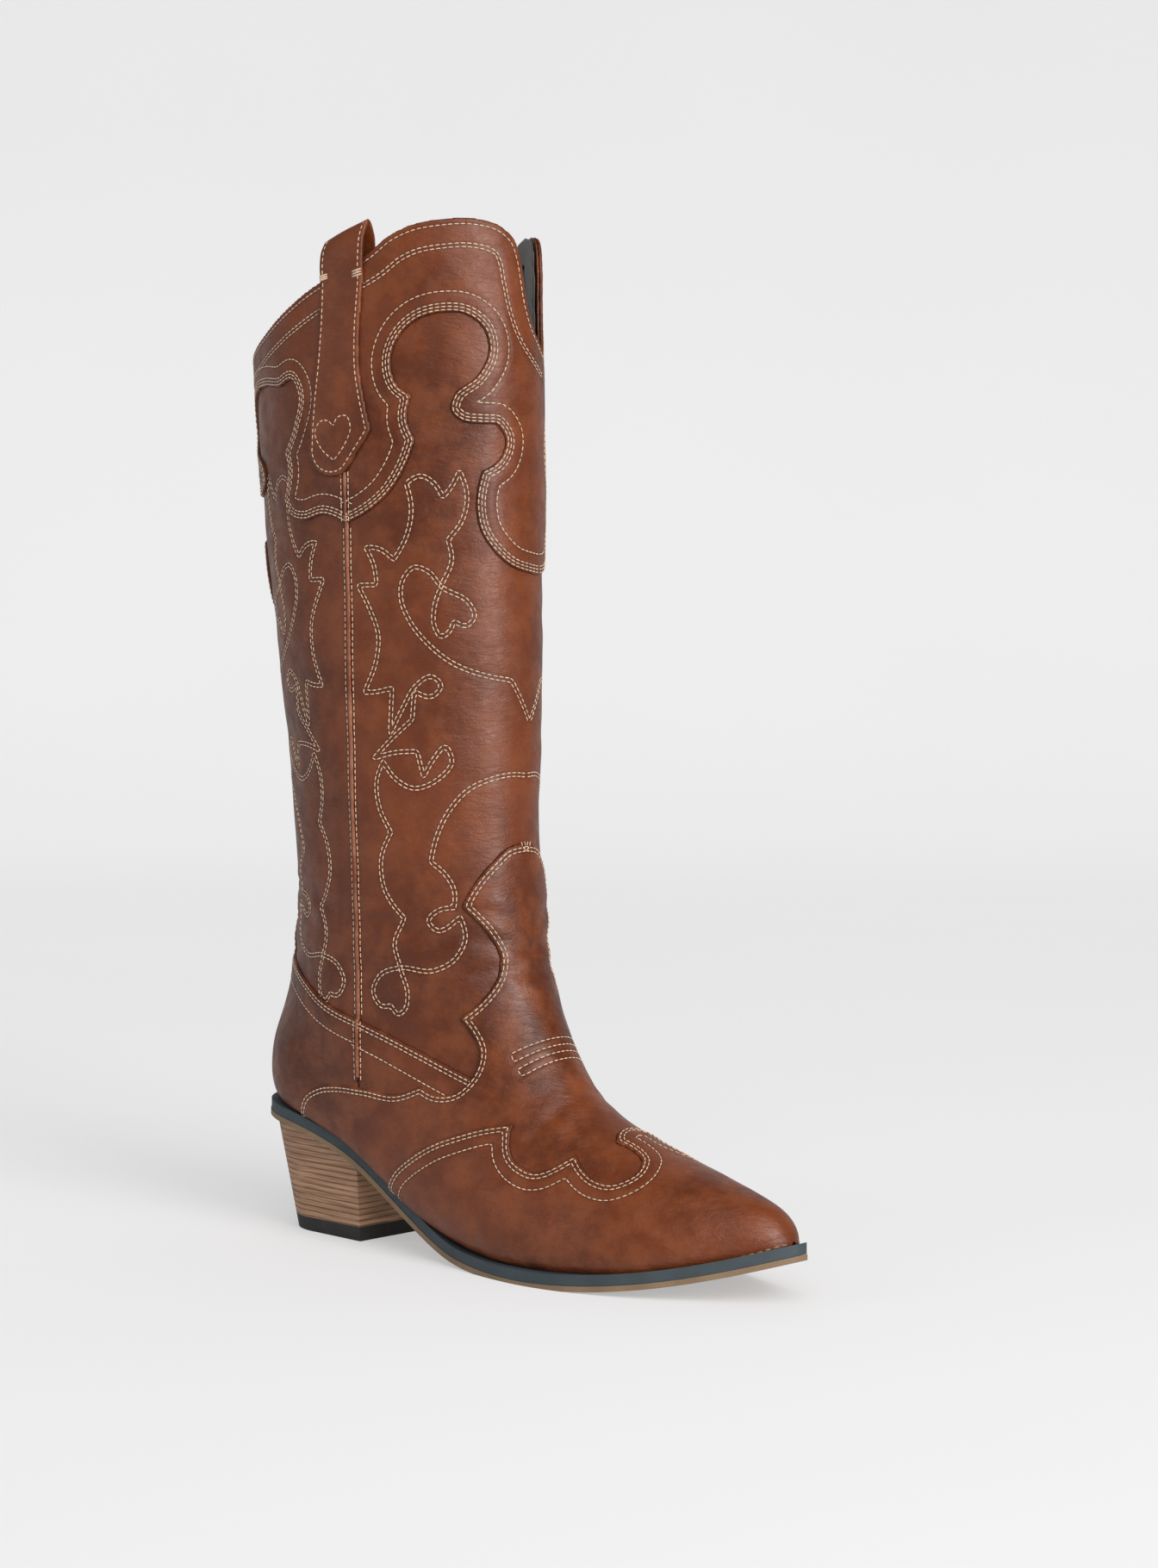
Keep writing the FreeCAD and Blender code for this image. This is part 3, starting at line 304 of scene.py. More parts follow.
def on_side(points, side):
    """Side-view points (x, z) put on the lateral or medial face."""
    placed = []
    for x, z in points:
        hit = SURFACE.ray_cast(Vector((x, side * 200.0, z)), Vector((0, -side, 0)))[0]
        placed.append(np.array(hit) if hit is not None else nearest((x, side * 0.5, z))[0])
    return np.array(placed)


def on_top(points):
    """Plan-view points (x, y) put on the upper face of the foot."""
    placed = []
    for x, y in points:
        hit = SURFACE.ray_cast(Vector((x, y, 150.0)), Vector((0, 0, -1)))[0]
        placed.append(np.array(hit) if hit is not None else nearest((x, y, 30.0))[0])
    return np.array(placed)


def on_shaft(points, side):
    """Points (distance in front of the seam, z) of the pattern put on the shaft, up to its middle."""
    points = np.asarray(points, float)
    s, z = points[:, 0], points[:, 1]
    middle, drift = front_middle(z)
    reached = s <= middle + drift
    s, z, middle, drift = s[reached], z[reached], middle[reached], drift[reached]
    if side == LATERAL:
        over = s > middle
        s = np.where(over, 2.0 * middle - s, s)
    else:
        over = np.zeros(len(s), bool)
        s = s - medial_twist(s, middle, drift)
    i, f = chart_step(z, CHART_Z)
    lines = CHART_S[i] * (1 - f[:, None]) + CHART_S[i + 1] * f[:, None]
    kept = s >= lines[:, -1]
    angle = np.array([np.interp(-value, -line, CHART_A) for value, line in zip(s, lines)])
    u = from_chart(CHART_U, z, angle)
    mirrored = over if side == LATERAL else np.ones(len(s), bool)
    return skin_at(u, np.where(mirrored, 2 * np.pi - angle, angle))[kept]


def normals_of(points):
    """Smooth outward normals at points on the surface."""
    return np.array([nearest(p)[1] for p in points])


# ---------------------------------------------------------------- outlines (side view is x, z)
VAMP_EDGE = [
    [(-3.0, 36.0), (-1.5, 54.0), (4.0, 62.0), (13.0, 66.0), (23.0, 67.5), (41.0, 67.5), (60.0, 66.5),
     (71.0, 70.5)],
    [(71.0, 70.5), (79.0, 67.5), (88.0, 69.0), (93.0, 75.0), (94.0, 84.0), (90.0, 91.5), (84.5, 98.0)],
    [(84.5, 98.0), (91.0, 104.5), (95.0, 113.0), (95.0, 122.0), (91.0, 132.0), (83.0, 143.0)],
    [(83.0, 143.0), (86.5, 152.0), (91.0, 161.0), (95.0, 168.0), (99.0, 170.0)],
]
SHAFT_FOOT = [(-60.0, 112.0), (40.0, 82.0), (84.0, 64.0), (105.9, 72.0), (106.1, 112.0), (130.0, 118.0)]
TOE_WING = [[(49.0, 12.0), (52.0, 28.0), (59.0, 35.5), (70.0, 42.5), (80.0, 47.5), (92.0, 52.0),
             (106.0, 56.0), (116.0, 57.5)]]
# plan view: x, distance from the middle
TOE_SCALLOPS = [
    [(116.0, 28.0), (119.0, 31.0), (127.0, 32.5), (135.0, 31.5), (141.0, 28.0), (146.0, 22.5)],
    [(146.0, 22.5), (152.0, 25.0), (160.0, 26.0), (168.0, 24.0), (172.5, 18.0), (170.0, 12.0), (163.0, 9.5),
     (155.0, 10.5)],
    [(155.0, 10.5), (151.0, 5.0), (150.0, 0.0)],
]
# distance in front of the side seam, z
TOP_EDGE = [[(104.0, 369.0), (98.0, 371.0), (91.0, 374.5), (85.0, 379.5), (81.0, 387.5), (78.5, 398.0),
             (76.5, 408.0), (73.5, 415.0), (67.0, 420.0), (56.0, 422.5), (42.0, 422.0), (28.0, 419.5),
             (19.0, 415.5), (12.0, 410.5), (4.0, 406.5), (-20.0, 397.0), (-38.0, 389.5), (-57.0, 382.5),
             (-76.0, 377.0), (-92.0, 373.0), (-104.0, 368.0), (-115.0, 361.0)]]
COLLAR_EDGE = [
    [(0.0, 299.5), (10.0, 303.5), (20.0, 310.5), (27.0, 320.0), (32.0, 333.0)],
    [(32.0, 333.0), (28.5, 341.5), (30.5, 351.0)],
    [(30.5, 351.0), (24.0, 355.5), (21.5, 364.0), (25.0, 374.5), (33.0, 381.5), (43.0, 384.0), (53.0, 383.0),
     (60.0, 377.0), (61.5, 368.0), (57.0, 358.5), (47.5, 350.0), (46.5, 344.5), (51.0, 340.0), (58.0, 339.0),
     (65.0, 339.0)],
    [(65.0, 339.0), (69.0, 333.0), (66.5, 325.0), (59.0, 320.0)],
    [(59.0, 320.0), (56.5, 306.0), (58.5, 295.0), (64.0, 287.0), (71.0, 281.5), (81.0, 279.0), (92.0, 278.5)],
]
BACK_DROP = 24.0             # the collar behind the seam hangs this much lower, beyond BACK_DROP_S
BACK_DROP_S = (12.0, 34.0)
BACK_COLLAR_WIDTH = 1.1      # and it is wider, the more so further from the seam
BACK_COLLAR_SPREAD = 0.0043
BACK_DRAWING_SHIFT = 9.0     # the drawing behind the seam lies further off above BACK_DRAWING_Z
BACK_DRAWING_Z = (140.0, 200.0)
BACK_DRAWING_RISE = 3.0
COUNTER_EDGE = [
    [(0.0, 95.5), (-20.0, 101.5), (-38.0, 109.5), (-52.0, 115.0), (-65.0, 119.0)],
    [(-65.0, 119.0), (-67.0, 132.0), (-67.5, 146.0)],
    [(-67.5, 146.0), (-72.0, 155.0), (-80.0, 158.5), (-90.0, 159.5)],
]
WEDGE_EDGE = [[(0.0, 95.5), (16.0, 90.0), (34.0, 83.0), (60.0, 73.0), (80.0, 66.0)]]
# stitched drawing on the shaft panels, in front of the side seam
FLAME = [
    [(28.0, 315.0), (34.0, 318.0), (39.5, 315.0), (43.0, 309.0)],
    [(43.0, 309.0), (47.0, 314.0), (50.0, 320.0)],
    [(50.0, 320.0), (53.0, 310.0), (51.0, 300.0), (45.0, 292.0)],
    [(45.0, 292.0), (46.5, 284.0), (42.0, 273.0), (39.0, 264.0), (39.0, 257.0), (42.0, 252.5), (45.0, 254.5),
     (47.0, 259.0)],
    [(47.0, 259.0), (52.0, 257.0), (55.5, 261.0), (53.0, 266.5), (42.0, 273.0), (37.0, 279.0), (31.0, 281.0),
     (26.0, 276.0), (25.0, 268.0), (28.0, 260.0), (36.0, 250.0), (47.0, 241.5), (59.0, 237.0), (71.0, 235.0)],
    [(71.0, 235.0), (76.0, 227.0), (81.5, 217.5)],
]
FLAME_BACK = [
    [(28.0, 315.0), (30.0, 305.0), (27.5, 293.0), (22.0, 284.0)],
    [(22.0, 284.0), (16.0, 288.5), (9.0, 289.5)],
    [(9.0, 289.5), (13.0, 282.0), (14.0, 274.0)],
    [(14.0, 274.0), (5.0, 274.0)],
    [(5.0, 274.0), (10.5, 264.0), (14.0, 254.0), (13.0, 244.0), (7.0, 230.0)],
    [(7.0, 230.0), (14.0, 230.5), (20.0, 232.0)],
    [(20.0, 232.0), (19.0, 213.0)],
    [(19.0, 213.0), (25.0, 224.0), (31.0, 233.0), (37.5, 236.5), (41.5, 233.0), (38.0, 228.5), (30.0, 230.5)],
    [(30.0, 230.5), (29.0, 219.0)],
    [(29.0, 219.0), (20.0, 211.5), (11.0, 203.0)],
    [(11.0, 203.0), (21.0, 205.5), (31.0, 206.0)],
    [(31.0, 206.0), (33.5, 195.5)],
    [(33.5, 195.5), (38.0, 203.0), (43.0, 208.0), (45.5, 202.5), (38.5, 194.0), (29.0, 191.0), (21.0, 195.0),
     (15.5, 202.0)],
    [(15.5, 202.0), (12.5, 194.0), (13.5, 184.0), (19.0, 173.0)],
    [(19.0, 173.0), (14.0, 162.0), (15.0, 150.0), (24.0, 138.0)],
    [(24.0, 138.0), (19.5, 128.0), (22.0, 117.0), (25.0, 107.0), (23.5, 100.5), (20.0, 98.5), (17.0, 102.0)],
    [(17.0, 102.0), (12.0, 101.5), (8.0, 107.0), (11.5, 114.0), (21.0, 117.5), (37.0, 117.0), (46.0, 122.0),
     (50.0, 130.0), (48.0, 139.0)],
    [(48.0, 139.0), (37.5, 133.5), (34.5, 137.0), (39.0, 141.5), (45.5, 142.5)],
    [(45.5, 142.5), (45.5, 150.0), (42.0, 156.0), (36.0, 161.0)],
    [(36.0, 161.0), (38.5, 171.0), (44.0, 182.0), (52.0, 190.5), (62.0, 195.0), (70.0, 196.5), (79.5, 196.0)],
]
# sewn bars across the instep: place of the row on the ridge (x, z), half width of the row
INSTEP_BARS = [(115.0, 90.0, 15.5), (116.6, 87.4, 15.5), (118.4, 85.2, 15.5), (120.2, 82.8, 15.0)]
BAR_RADIUS = 26.0            # of the instep under the bars
BAR_SPREAD = 60.0            # the bars are drawn on an arc outside the leather, then put on it
BAR_LEAD, BAR_SWEEP = 6.0, 22.0
BAR_RISE, BAR_SINK = 14.0, 10.0
# pull strap: left edge, foot and right edge on the lateral side (x, height along the strap)
STRAP_OUTLINE = [
    [(26.0, 460.0), (26.0, 397.0), (24.5, 372.0), (22.5, 350.0), (20.5, 329.0)],
    [(20.5, 329.0), (23.5, 322.5), (30.0, 319.0), (37.0, 319.5), (44.0, 327.0), (51.0, 337.0)],
    [(51.0, 337.0), (48.5, 347.0), (46.0, 360.0), (45.5, 376.0), (47.0, 397.0), (47.5, 460.0)],
]
STRAP_HEART = [[(34.0, 325.5), (27.0, 331.5), (24.5, 337.5), (28.0, 342.0), (32.0, 341.5), (34.0, 339.0)],
               [(34.0, 339.0), (36.0, 343.0), (40.0, 343.5), (42.0, 338.5), (39.5, 332.0), (34.0, 325.5)]]
STRAP_LEAVES_Z = 399.0       # above this the strap stands free as a loop
STRAP_LOOP_Z = 423.5
STRAP_SLANT = 8.0            # the loop's back edge is this much lower than its front edge
STRAP_BACK_X, STRAP_FRONT_X = 26.0, 47.5
STRAP_INSIDE_Z = 374.0
STRAP_PAST_END = 600.0       # beyond the strap's inner end, measured along it
STRAP_ROW_INSET = 2.0        # sewing along the strap's edge
TACK_X = (26.3, 42.4)        # bar tacks where the strap crosses the top edge
TACK_ROWS = (400.0, 400.9, 401.8)
TACK_LENGTH = 4.6
STRAP_OFF_FACING = 1.1       # middle of the inner leg from the facing
LOOP_STEPS = 64

# layers of the upper, as (inner, outer) distances from the surface
FACING = (-3.6, -2.7)
LINING = (-2.6, -1.7)
BASE = (-1.0, 0.2)
FOOT_OVERLAY = (0.2, 1.2)
OVERLAY = (0.2, 1.5)
VAMP = (0.2, 2.0)
TOE_OVERLAY = (2.0, 3.0)
STRAP = (1.6, 2.9)
SLOT_HALF = 6.5              # half width of the zip's opening in the leather
LINING_SLOT_HALF = 8.5
SEAM_GAP = 0.3               # between the edges of the shaft panels and the middle of the seam
BEAD_HALF = 0.95             # raised bead along the seam
ZIP_CLEARANCE = 1.0          # sewing stays this far off the zip's opening
TWIST = 0.1                  # the middle of the front drifts this much for each mm of height
TWIST_FROM_Z = 172.0
TWIST_POWER = 1.5            # the medial side takes up the drift mostly near the front
TWIST_ROUNDS = 25            # enough repeats for the reverse of medial_twist to settle
BACK_REACH = 2.0             # the back panels reach this far round from the middle of the back (radians)
FRONT_REACH = 1.66           # and the front panels from the middle of the front
SLOT_FOOT_Z = 74.0
SLOT_TOP_Z = 242.0
SLOT_ABSENT = 50.0           # distance given where there is no zip
STITCH = 2.6                 # pitch of the sewing
THREAD_PROUD = 0.02          # middle of the thread above the leather
# pitch, share of the pitch that the thread covers, width, height
TACK_THREAD = (6.0, 0.95, 0.8, 0.6)
WELT_THREAD_SIZE = (3.3, 0.7, 0.7, 0.5)
WELT_SEWN_FROM_X = 52.0      # in front of the waist
DOUBLE = 1.5                 # distance between the rows of a double seam
LINE_STEP = 0.6              # spacing of the points of a sewing line
KEPT_SHARE = 0.96            # of its distance that a line beside another must keep
GROOVE = 0.28                # depth and half width of the groove under the sewing
GROOVE_HALF = 0.75
NEAR_SEAM = 6.0              # the groove is looked for up to this distance
FAR = 12.0                   # distances to a line are measured up to this


def progress(value, low, high):
    """How far a value has come from low to high, from 0 to 1."""
    return min(max((value - low) / (high - low), 0.0), 1.0)


def back_of_seam(run):
    """The drawing behind the seam: mirrored, a little higher, and further off higher up."""
    return [(-s - BACK_DRAWING_SHIFT * progress(z, *BACK_DRAWING_Z), z + BACK_DRAWING_RISE) for s, z in run]


def back_of_collar(run):
    """The collar's edge behind the seam: wider and hanging lower."""
    return [(-s * (BACK_COLLAR_WIDTH + BACK_COLLAR_SPREAD * s), z - BACK_DROP * progress(s, *BACK_DROP_S))
            for s, z in run]


# ---------------------------------------------------------------- lines and regions
class Line:
    """Points along a curve on the surface, with a fast search for the nearest."""

    def __init__(self, *pieces):
        self.points = np.concatenate(pieces)
        self.tree = KDTree(len(self.points))
        for index, point in enumerate(self.points):
            self.tree.insert(point, index)
        self.tree.balance()

    def distance(self, points, limit=FAR):
        """Distance to the line; points further than limit count as limit."""
        low = self.points.min(0) - limit
        high = self.points.max(0) + limit
        near = np.all((points > low) & (points < high), axis=-1)
        result = np.full(len(points), limit)
        for index in np.nonzero(near)[0]:
            result[index] = min(self.tree.find(points[index])[2], limit)
        return result


def resampled(points, step):
    """A line with points at even steps."""
    run = np.concatenate([[0], np.cumsum(np.linalg.norm(np.diff(points, axis=0), axis=1))])
    at = np.arange(0.0, run[-1], step)
    return np.stack([np.interp(at, run, points[:, k]) for k in range(3)], -1)


def inside_polygon(x, y, polygon):
    """Even-odd test of points against a closed outline."""
    polygon = np.asarray(polygon, float)
    result = np.zeros(x.shape, bool)
    for (x0, y0), (x1, y1) in zip(polygon, np.roll(polygon, -1, axis=0)):
        if y0 == y1:
            continue
        crosses = (y0 > y) != (y1 > y)
        result ^= crosses & (x < (x1 - x0) * (y - y0) / (y1 - y0) + x0)
    return result


def closed(runs, corners):
    """Closed outline: smooth runs, then straight lines through the corners."""
    return np.concatenate([joined(runs, 1.0), np.array(corners, float)])


VAMP_SHAPE = closed(VAMP_EDGE, [(300.0, 170.0), (300.0, -30.0), (-3.0, -30.0)])
TOP_SHAPE = closed(TOP_EDGE, [(-150.0, 361.0), (-150.0, -30.0), (150.0, -30.0), (150.0, 369.0)])
COLLAR_FRONT_SHAPE = closed(COLLAR_EDGE, [(150.0, 278.5), (150.0, 470.0), (0.0, 470.0)])
COLLAR_BACK = [back_of_collar(run) for run in COLLAR_EDGE]
COLLAR_BACK_SHAPE = closed(COLLAR_BACK, [(-160.0, 252.0), (-160.0, 470.0), (0.0, 470.0)])
COUNTER_SHAPE = closed(COUNTER_EDGE, [(-150.0, 159.5), (-150.0, -30.0), (0.0, -30.0)])
WEDGE_SHAPE = closed(WEDGE_EDGE, [(150.0, 66.0), (150.0, -30.0), (0.0, -30.0)])
TOE_PLAN = closed(TOE_SCALLOPS, [(140.0, 0.0), (140.0, -1.0), (300.0, -1.0), (300.0, 90.0), (116.0, 90.0)])
TOE_SIDE = closed(TOE_WING, [(116.01, -30.0), (49.0, -30.0)])


def both_sides(place, runs):
    """The same runs put on the lateral and the medial side."""
    points = joined(runs)
    return [place(points, LATERAL), place(points, MEDIAL)]


def toe_edge(side):
    """Edge of the toe overlay: up the side, then over the top to the middle."""
    wing = on_side(joined(TOE_WING), side)
    plan = joined(TOE_SCALLOPS) * np.array([1.0, side])
    return np.concatenate([wing, on_top(plan)])


VAMP_LINES = both_sides(on_side, VAMP_EDGE)
TOP_LINES = both_sides(on_shaft, TOP_EDGE)
COLLAR_FRONT_LINES = both_sides(on_shaft, COLLAR_EDGE)
COLLAR_BACK_LINES = both_sides(on_shaft, COLLAR_BACK)
COUNTER_LINES = both_sides(on_shaft, COUNTER_EDGE)
WEDGE_LINES = both_sides(on_shaft, WEDGE_EDGE)
TOE_LINES = [toe_edge(LATERAL), toe_edge(MEDIAL)]
TOE_TURN_X = TOE_WING[0][-1][0]      # behind this the toe's edge is drawn from the side
TOP_LINE = Line(*TOP_LINES)
VAMP_LINE = Line(*VAMP_LINES)
TOE_LINE = Line(*TOE_LINES)


class Patch:
    """A grid of surface points, with the distances (mm) that the panels are cut by."""

    def __init__(self, u_range, angle_range, cell, wrap=False):
        fine_u = np.linspace(u_range[0], u_range[1], 1500)
        fine_a = np.linspace(angle_range[0], angle_range[1], 1500)
        probe_a = np.linspace(angle_range[0], angle_range[1], 9)
        probe_u = np.linspace(u_range[0], u_range[1], 9)
        down = np.linalg.norm(np.diff(skin_grid(fine_u, probe_a), axis=0), axis=2).max(1)
        round_ = np.linalg.norm(np.diff(skin_grid(probe_u, fine_a), axis=1), axis=2).max(0)
        self.u = self.even(fine_u, down, cell)
        self.angle = self.even(fine_a, round_, cell)
        if wrap:
            self.angle = self.angle[:-1]
        self.wrap = wrap
        self.shape = (len(self.u), len(self.angle))
        self.place = skin_grid(self.u, self.angle).reshape(-1, 3)
        self.normal = skin_normals(self.u, self.angle).reshape(-1, 3)
        turned = np.tile(self.angle % (2 * np.pi), len(self.u))
        self.side = np.where(turned > np.pi, MEDIAL, LATERAL)
        self.x, self.y, self.z = self.place.T
        self.from_seam = distance_in_front(self.z, turned)
        self.s = to_pattern(self.from_seam, self.side, self.z)

    @staticmethod
    def even(values, steps, cell):
        """Values spaced so that no step is longer than the cell."""
        run = np.concatenate([[0], np.cumsum(steps)])
        count = max(int(math.ceil(run[-1] / cell)), 3)
        return np.interp(np.linspace(0, run[-1], count + 1), run, values)

    def signed(self, inside, line):
        """Distance to a line: positive inside it, negative outside."""
        distance = line.distance(self.place)
        return np.where(inside, distance, -distance)

    def below_top(self):
        """Distance below the top edge."""
        return self.signed(inside_polygon(self.s, self.z, TOP_SHAPE), TOP_LINE)

    def above_sole(self):
        """Height above the rand."""
        return self.z - sole_z(self.x) - 0.1

    def clear_of_zip(self, half):
        """Distance outside the zip's opening, which is on the medial side only."""
        out = np.maximum(np.abs(self.from_seam) - half, np.maximum(self.z - SLOT_TOP_Z, SLOT_FOOT_Z - self.z))
        return np.where(self.side == MEDIAL, out, SLOT_ABSENT)

    def above_shaft_foot(self):
        """Height above the line where the shaft panels end under the foot leather."""
        line = np.array(SHAFT_FOOT)
        return self.z - np.interp(self.x, line[:, 0], line[:, 1])

    def in_vamp(self):
        """Distance inside the vamp's edge, as seen from the side."""
        return self.signed(inside_polygon(self.x, self.z, VAMP_SHAPE), VAMP_LINE)

    def in_toe(self):
        """Distance inside the toe overlay: its wings from the side, its front from above."""
        wing = inside_polygon(self.x, self.z, TOE_SIDE) & (self.x <= TOE_TURN_X)
        front = inside_polygon(self.x, np.abs(self.y), TOE_PLAN) & (self.x > TOE_TURN_X)
        return self.signed(wing | front, TOE_LINE)

    def in_shape(self, shape, line):
        """Inside an outline given as distance in front of the seam, and height."""
        return self.signed(inside_polygon(self.s, self.z, shape), line)


# ---------------------------------------------------------------- leather that is not quite smooth
def waves(seed, count, shortest, longest, height):
    """A few smooth waves in random directions, the same on every run."""
    random = np.random.default_rng(seed)
    direction = unit(random.normal(size=(count, 3)))
    length = random.uniform(shortest, longest, count)
    phase = random.uniform(0, 2 * np.pi, count)
    return direction * (2 * np.pi / length)[:, None], phase, height / math.sqrt(count)


BROAD_WAVES = waves(11, 9, 34.0, 80.0, 0.42)
SMALL_WAVES = waves(12, 12, 9.0, 22.0, 0.07)
HEEL_SWELL = 4.6             # the counter stands out over the rand
FEATHER_SWELL = 1.3          # so does the leather all along the feather line, a little


def add_waves(points, spec):
    """Height of a set of waves at points."""
    vectors, phase, height = spec
    return height * np.sin(points @ vectors.T + phase).sum(1)


def crease(points, centre, along, across, depth, half_length, width):
    """One soft fold: a shallow groove with a low ridge beside it."""
    offset = points - np.array(centre)
    along = np.array(along) / np.linalg.norm(along)
    across = np.array(across) / np.linalg.norm(across)
    u = offset @ along
    v = (offset @ across + 0.012 * u ** 2) / width
    return depth * (v ** 2 - 0.55) * np.exp(-v ** 2) * np.exp(-(u / half_length) ** 2)


CREASES = [
    # centre, along, across, depth, half length, width
    ((98.0, -18.0, 128.0), (0.5, 1.0, -0.15), (0.2, 0.0, 1.0), 0.9, 26.0, 4.5),
    ((100.0, -10.0, 116.0), (0.2, 1.0, 0.1), (0.3, 0.0, 1.0), 0.8, 24.0, 4.0),
    ((94.0, -26.0, 141.0), (0.6, 1.0, -0.4), (0.1, 0.0, 1.0), 0.7, 20.0, 4.0),
    ((66.0, -38.0, 132.0), (1.0, 0.2, -0.5), (0.3, 0.0, 1.0), 0.6, 22.0, 6.0),
    ((-22.0, -24.0, 120.0), (-0.6, 1.0, 0.1), (0.0, 0.0, 1.0), 0.8, 24.0, 5.0),
    ((-20.0, -28.0, 136.0), (-0.7, 1.0, -0.1), (0.0, 0.0, 1.0), 0.6, 20.0, 5.0),
    ((128.0, -22.0, 60.0), (0.3, 1.0, -0.4), (1.0, 0.0, -0.4), 0.6, 24.0, 5.0),
    ((110.0, -36.0, 38.0), (0.8, 0.1, 0.5), (-0.4, 0.0, 1.0), 0.5, 20.0, 6.0),
    ((84.0, -36.0, 215.0), (0.6, 0.8, 0.2), (0.0, 0.0, 1.0), 0.45, 20.0, 7.0),
    ((90.0, -28.0, 262.0), (0.5, 0.9, 0.1), (0.0, 0.0, 1.0), 0.4, 22.0, 8.0),
]


def unevenness(points):
    """How far the leather stands off the smooth surface."""
    total = add_waves(points, BROAD_WAVES) + add_waves(points, SMALL_WAVES)
    for spec in CREASES:
        total += crease(points, *spec)
        mirrored = [(a[0], -a[1], a[2]) for a in spec[:3]]
        total += 0.8 * crease(points, *mirrored, *spec[3:])
    x, height = points[:, 0], points[:, 2] - sole_z(points[:, 0])
    toe_fade = np.clip((236.0 - x) / 30.0, 0.0, 1.0)
    total *= np.clip(height / 8.0, 0.0, 1.0) * toe_fade
    low = np.clip(height / 4.0, 0.0, 1.0)
    heel = np.clip((34.0 - x) / 50.0, 0.0, 1.0)
    round_heel = heel * heel * (3.0 - 2.0 * heel)
    heel_swell = round_heel * np.exp(-((height - 10.0) / 24.0) ** 2) * (0.45 + 0.55 * low)
    feather_swell = low * np.exp(-((height - 5.0) / 8.0) ** 2) * toe_fade
    return total + HEEL_SWELL * heel_swell + FEATHER_SWELL * feather_swell


# ---------------------------------------------------------------- meshes
def new_mesh(name, points, faces):
    """Smooth-shaded object from points in millimetres."""
    mesh = bpy.data.meshes.new(name)
    mesh.from_pydata((np.asarray(points) * MM).tolist(), [], faces)
    mesh.validate()
    mesh.shade_smooth()
    piece = bpy.data.objects.new(name, mesh)
    bpy.context.scene.collection.objects.link(piece)
    return piece


def cut_grid(field, shape, wrap):
    """Cells of the grid where field is positive, clipped at zero.

    Returns the vertices as (a, b, share) between two grid points, and the faces."""
    rows, columns = shape
    field = np.where(np.abs(field) < 1e-4, -1e-4, field)
    index = np.arange(rows * columns).reshape(shape)
    if wrap:
        index = np.concatenate([index, index[:, :1]], axis=1)
    quads = np.stack([index[:-1, :-1], index[:-1, 1:], index[1:, 1:], index[1:, :-1]], -1).reshape(-1, 4)
    inside = field[quads] > 0
    known = {}
    vertices = []

    def vertex(a, b):
        key = (a, b) if a <= b else (b, a)
        if key not in known:
            known[key] = len(vertices)
            share = 0.0 if a == b else field[key[0]] / (field[key[0]] - field[key[1]])
            vertices.append((key[0], key[1], share))
        return known[key]

    faces = []
    for quad in quads[inside.all(1)].tolist():
        faces.append([vertex(k, k) for k in quad])
    for quad in quads[inside.any(1) & ~inside.all(1)].tolist():
        corners = []
        for a, b in zip(quad, quad[1:] + quad[:1]):
            if field[a] > 0:
                corners.append(vertex(a, a))
            if (field[a] > 0) != (field[b] > 0):
                corners.append(vertex(a, b))
        if len(corners) >= 3:
            faces.append(corners)
    return vertices, faces


def panel(name, patch, field, layer, rounding=1.0, seams=()):
    """A closed sheet of leather over the part of the patch where field is positive."""
    vertices, faces = cut_grid(field, patch.shape, patch.wrap)
    a = np.array([v[0] for v in vertices])
    b = np.array([v[1] for v in vertices])
    share = np.array([v[2] for v in vertices])[:, None]
    place = patch.place[a] * (1 - share) + patch.place[b] * share
    normal = unit(patch.normal[a] * (1 - share) + patch.normal[b] * share)
    depth = np.where(a == b, field[a], 0.0)
    edge = np.clip(depth / rounding, 0.0, 1.0)
    swell = unevenness(place)
    outer_face = np.broadcast_to(layer[1], patch.place.shape[:1])
    thickness = outer_face[a] * (1 - share[:, 0]) + outer_face[b] * share[:, 0] - layer[0]
    height = layer[0] + thickness * np.sqrt(1.0 - (1.0 - edge) ** 2) + swell
    near_seam = np.full(len(place), FAR)
    for line in seams:
        near_seam = np.minimum(near_seam, line.distance(place, NEAR_SEAM))
    height -= GROOVE * np.exp(-(near_seam / GROOVE_HALF) ** 2) * edge
    outer = place + normal * height[:, None]
    inner = place + normal * (layer[0] + swell)[:, None]
    rim = depth <= 0.0
    number = np.full(len(place), -1)
    number[rim] = np.nonzero(rim)[0]
    number[~rim] = len(place) + np.arange((~rim).sum())
    back = [[int(number[k]) for k in reversed(face)] for face in faces]
    piece = new_mesh(name, np.concatenate([outer, inner[~rim]]), faces + back)
    tone = piece.data.attributes.new("edge_distance", "FLOAT", "POINT")
    tone.data.foreach_set("value", np.concatenate([depth, depth[~rim]]).astype(np.float32))
    # distance to the sewing, used by the leather material for painted shade in the stitch grooves
    tone = piece.data.attributes.new("seam_distance", "FLOAT", "POINT")
    tone.data.foreach_set("value", np.concatenate([near_seam, near_seam[~rim]]).astype(np.float32))
    return piece


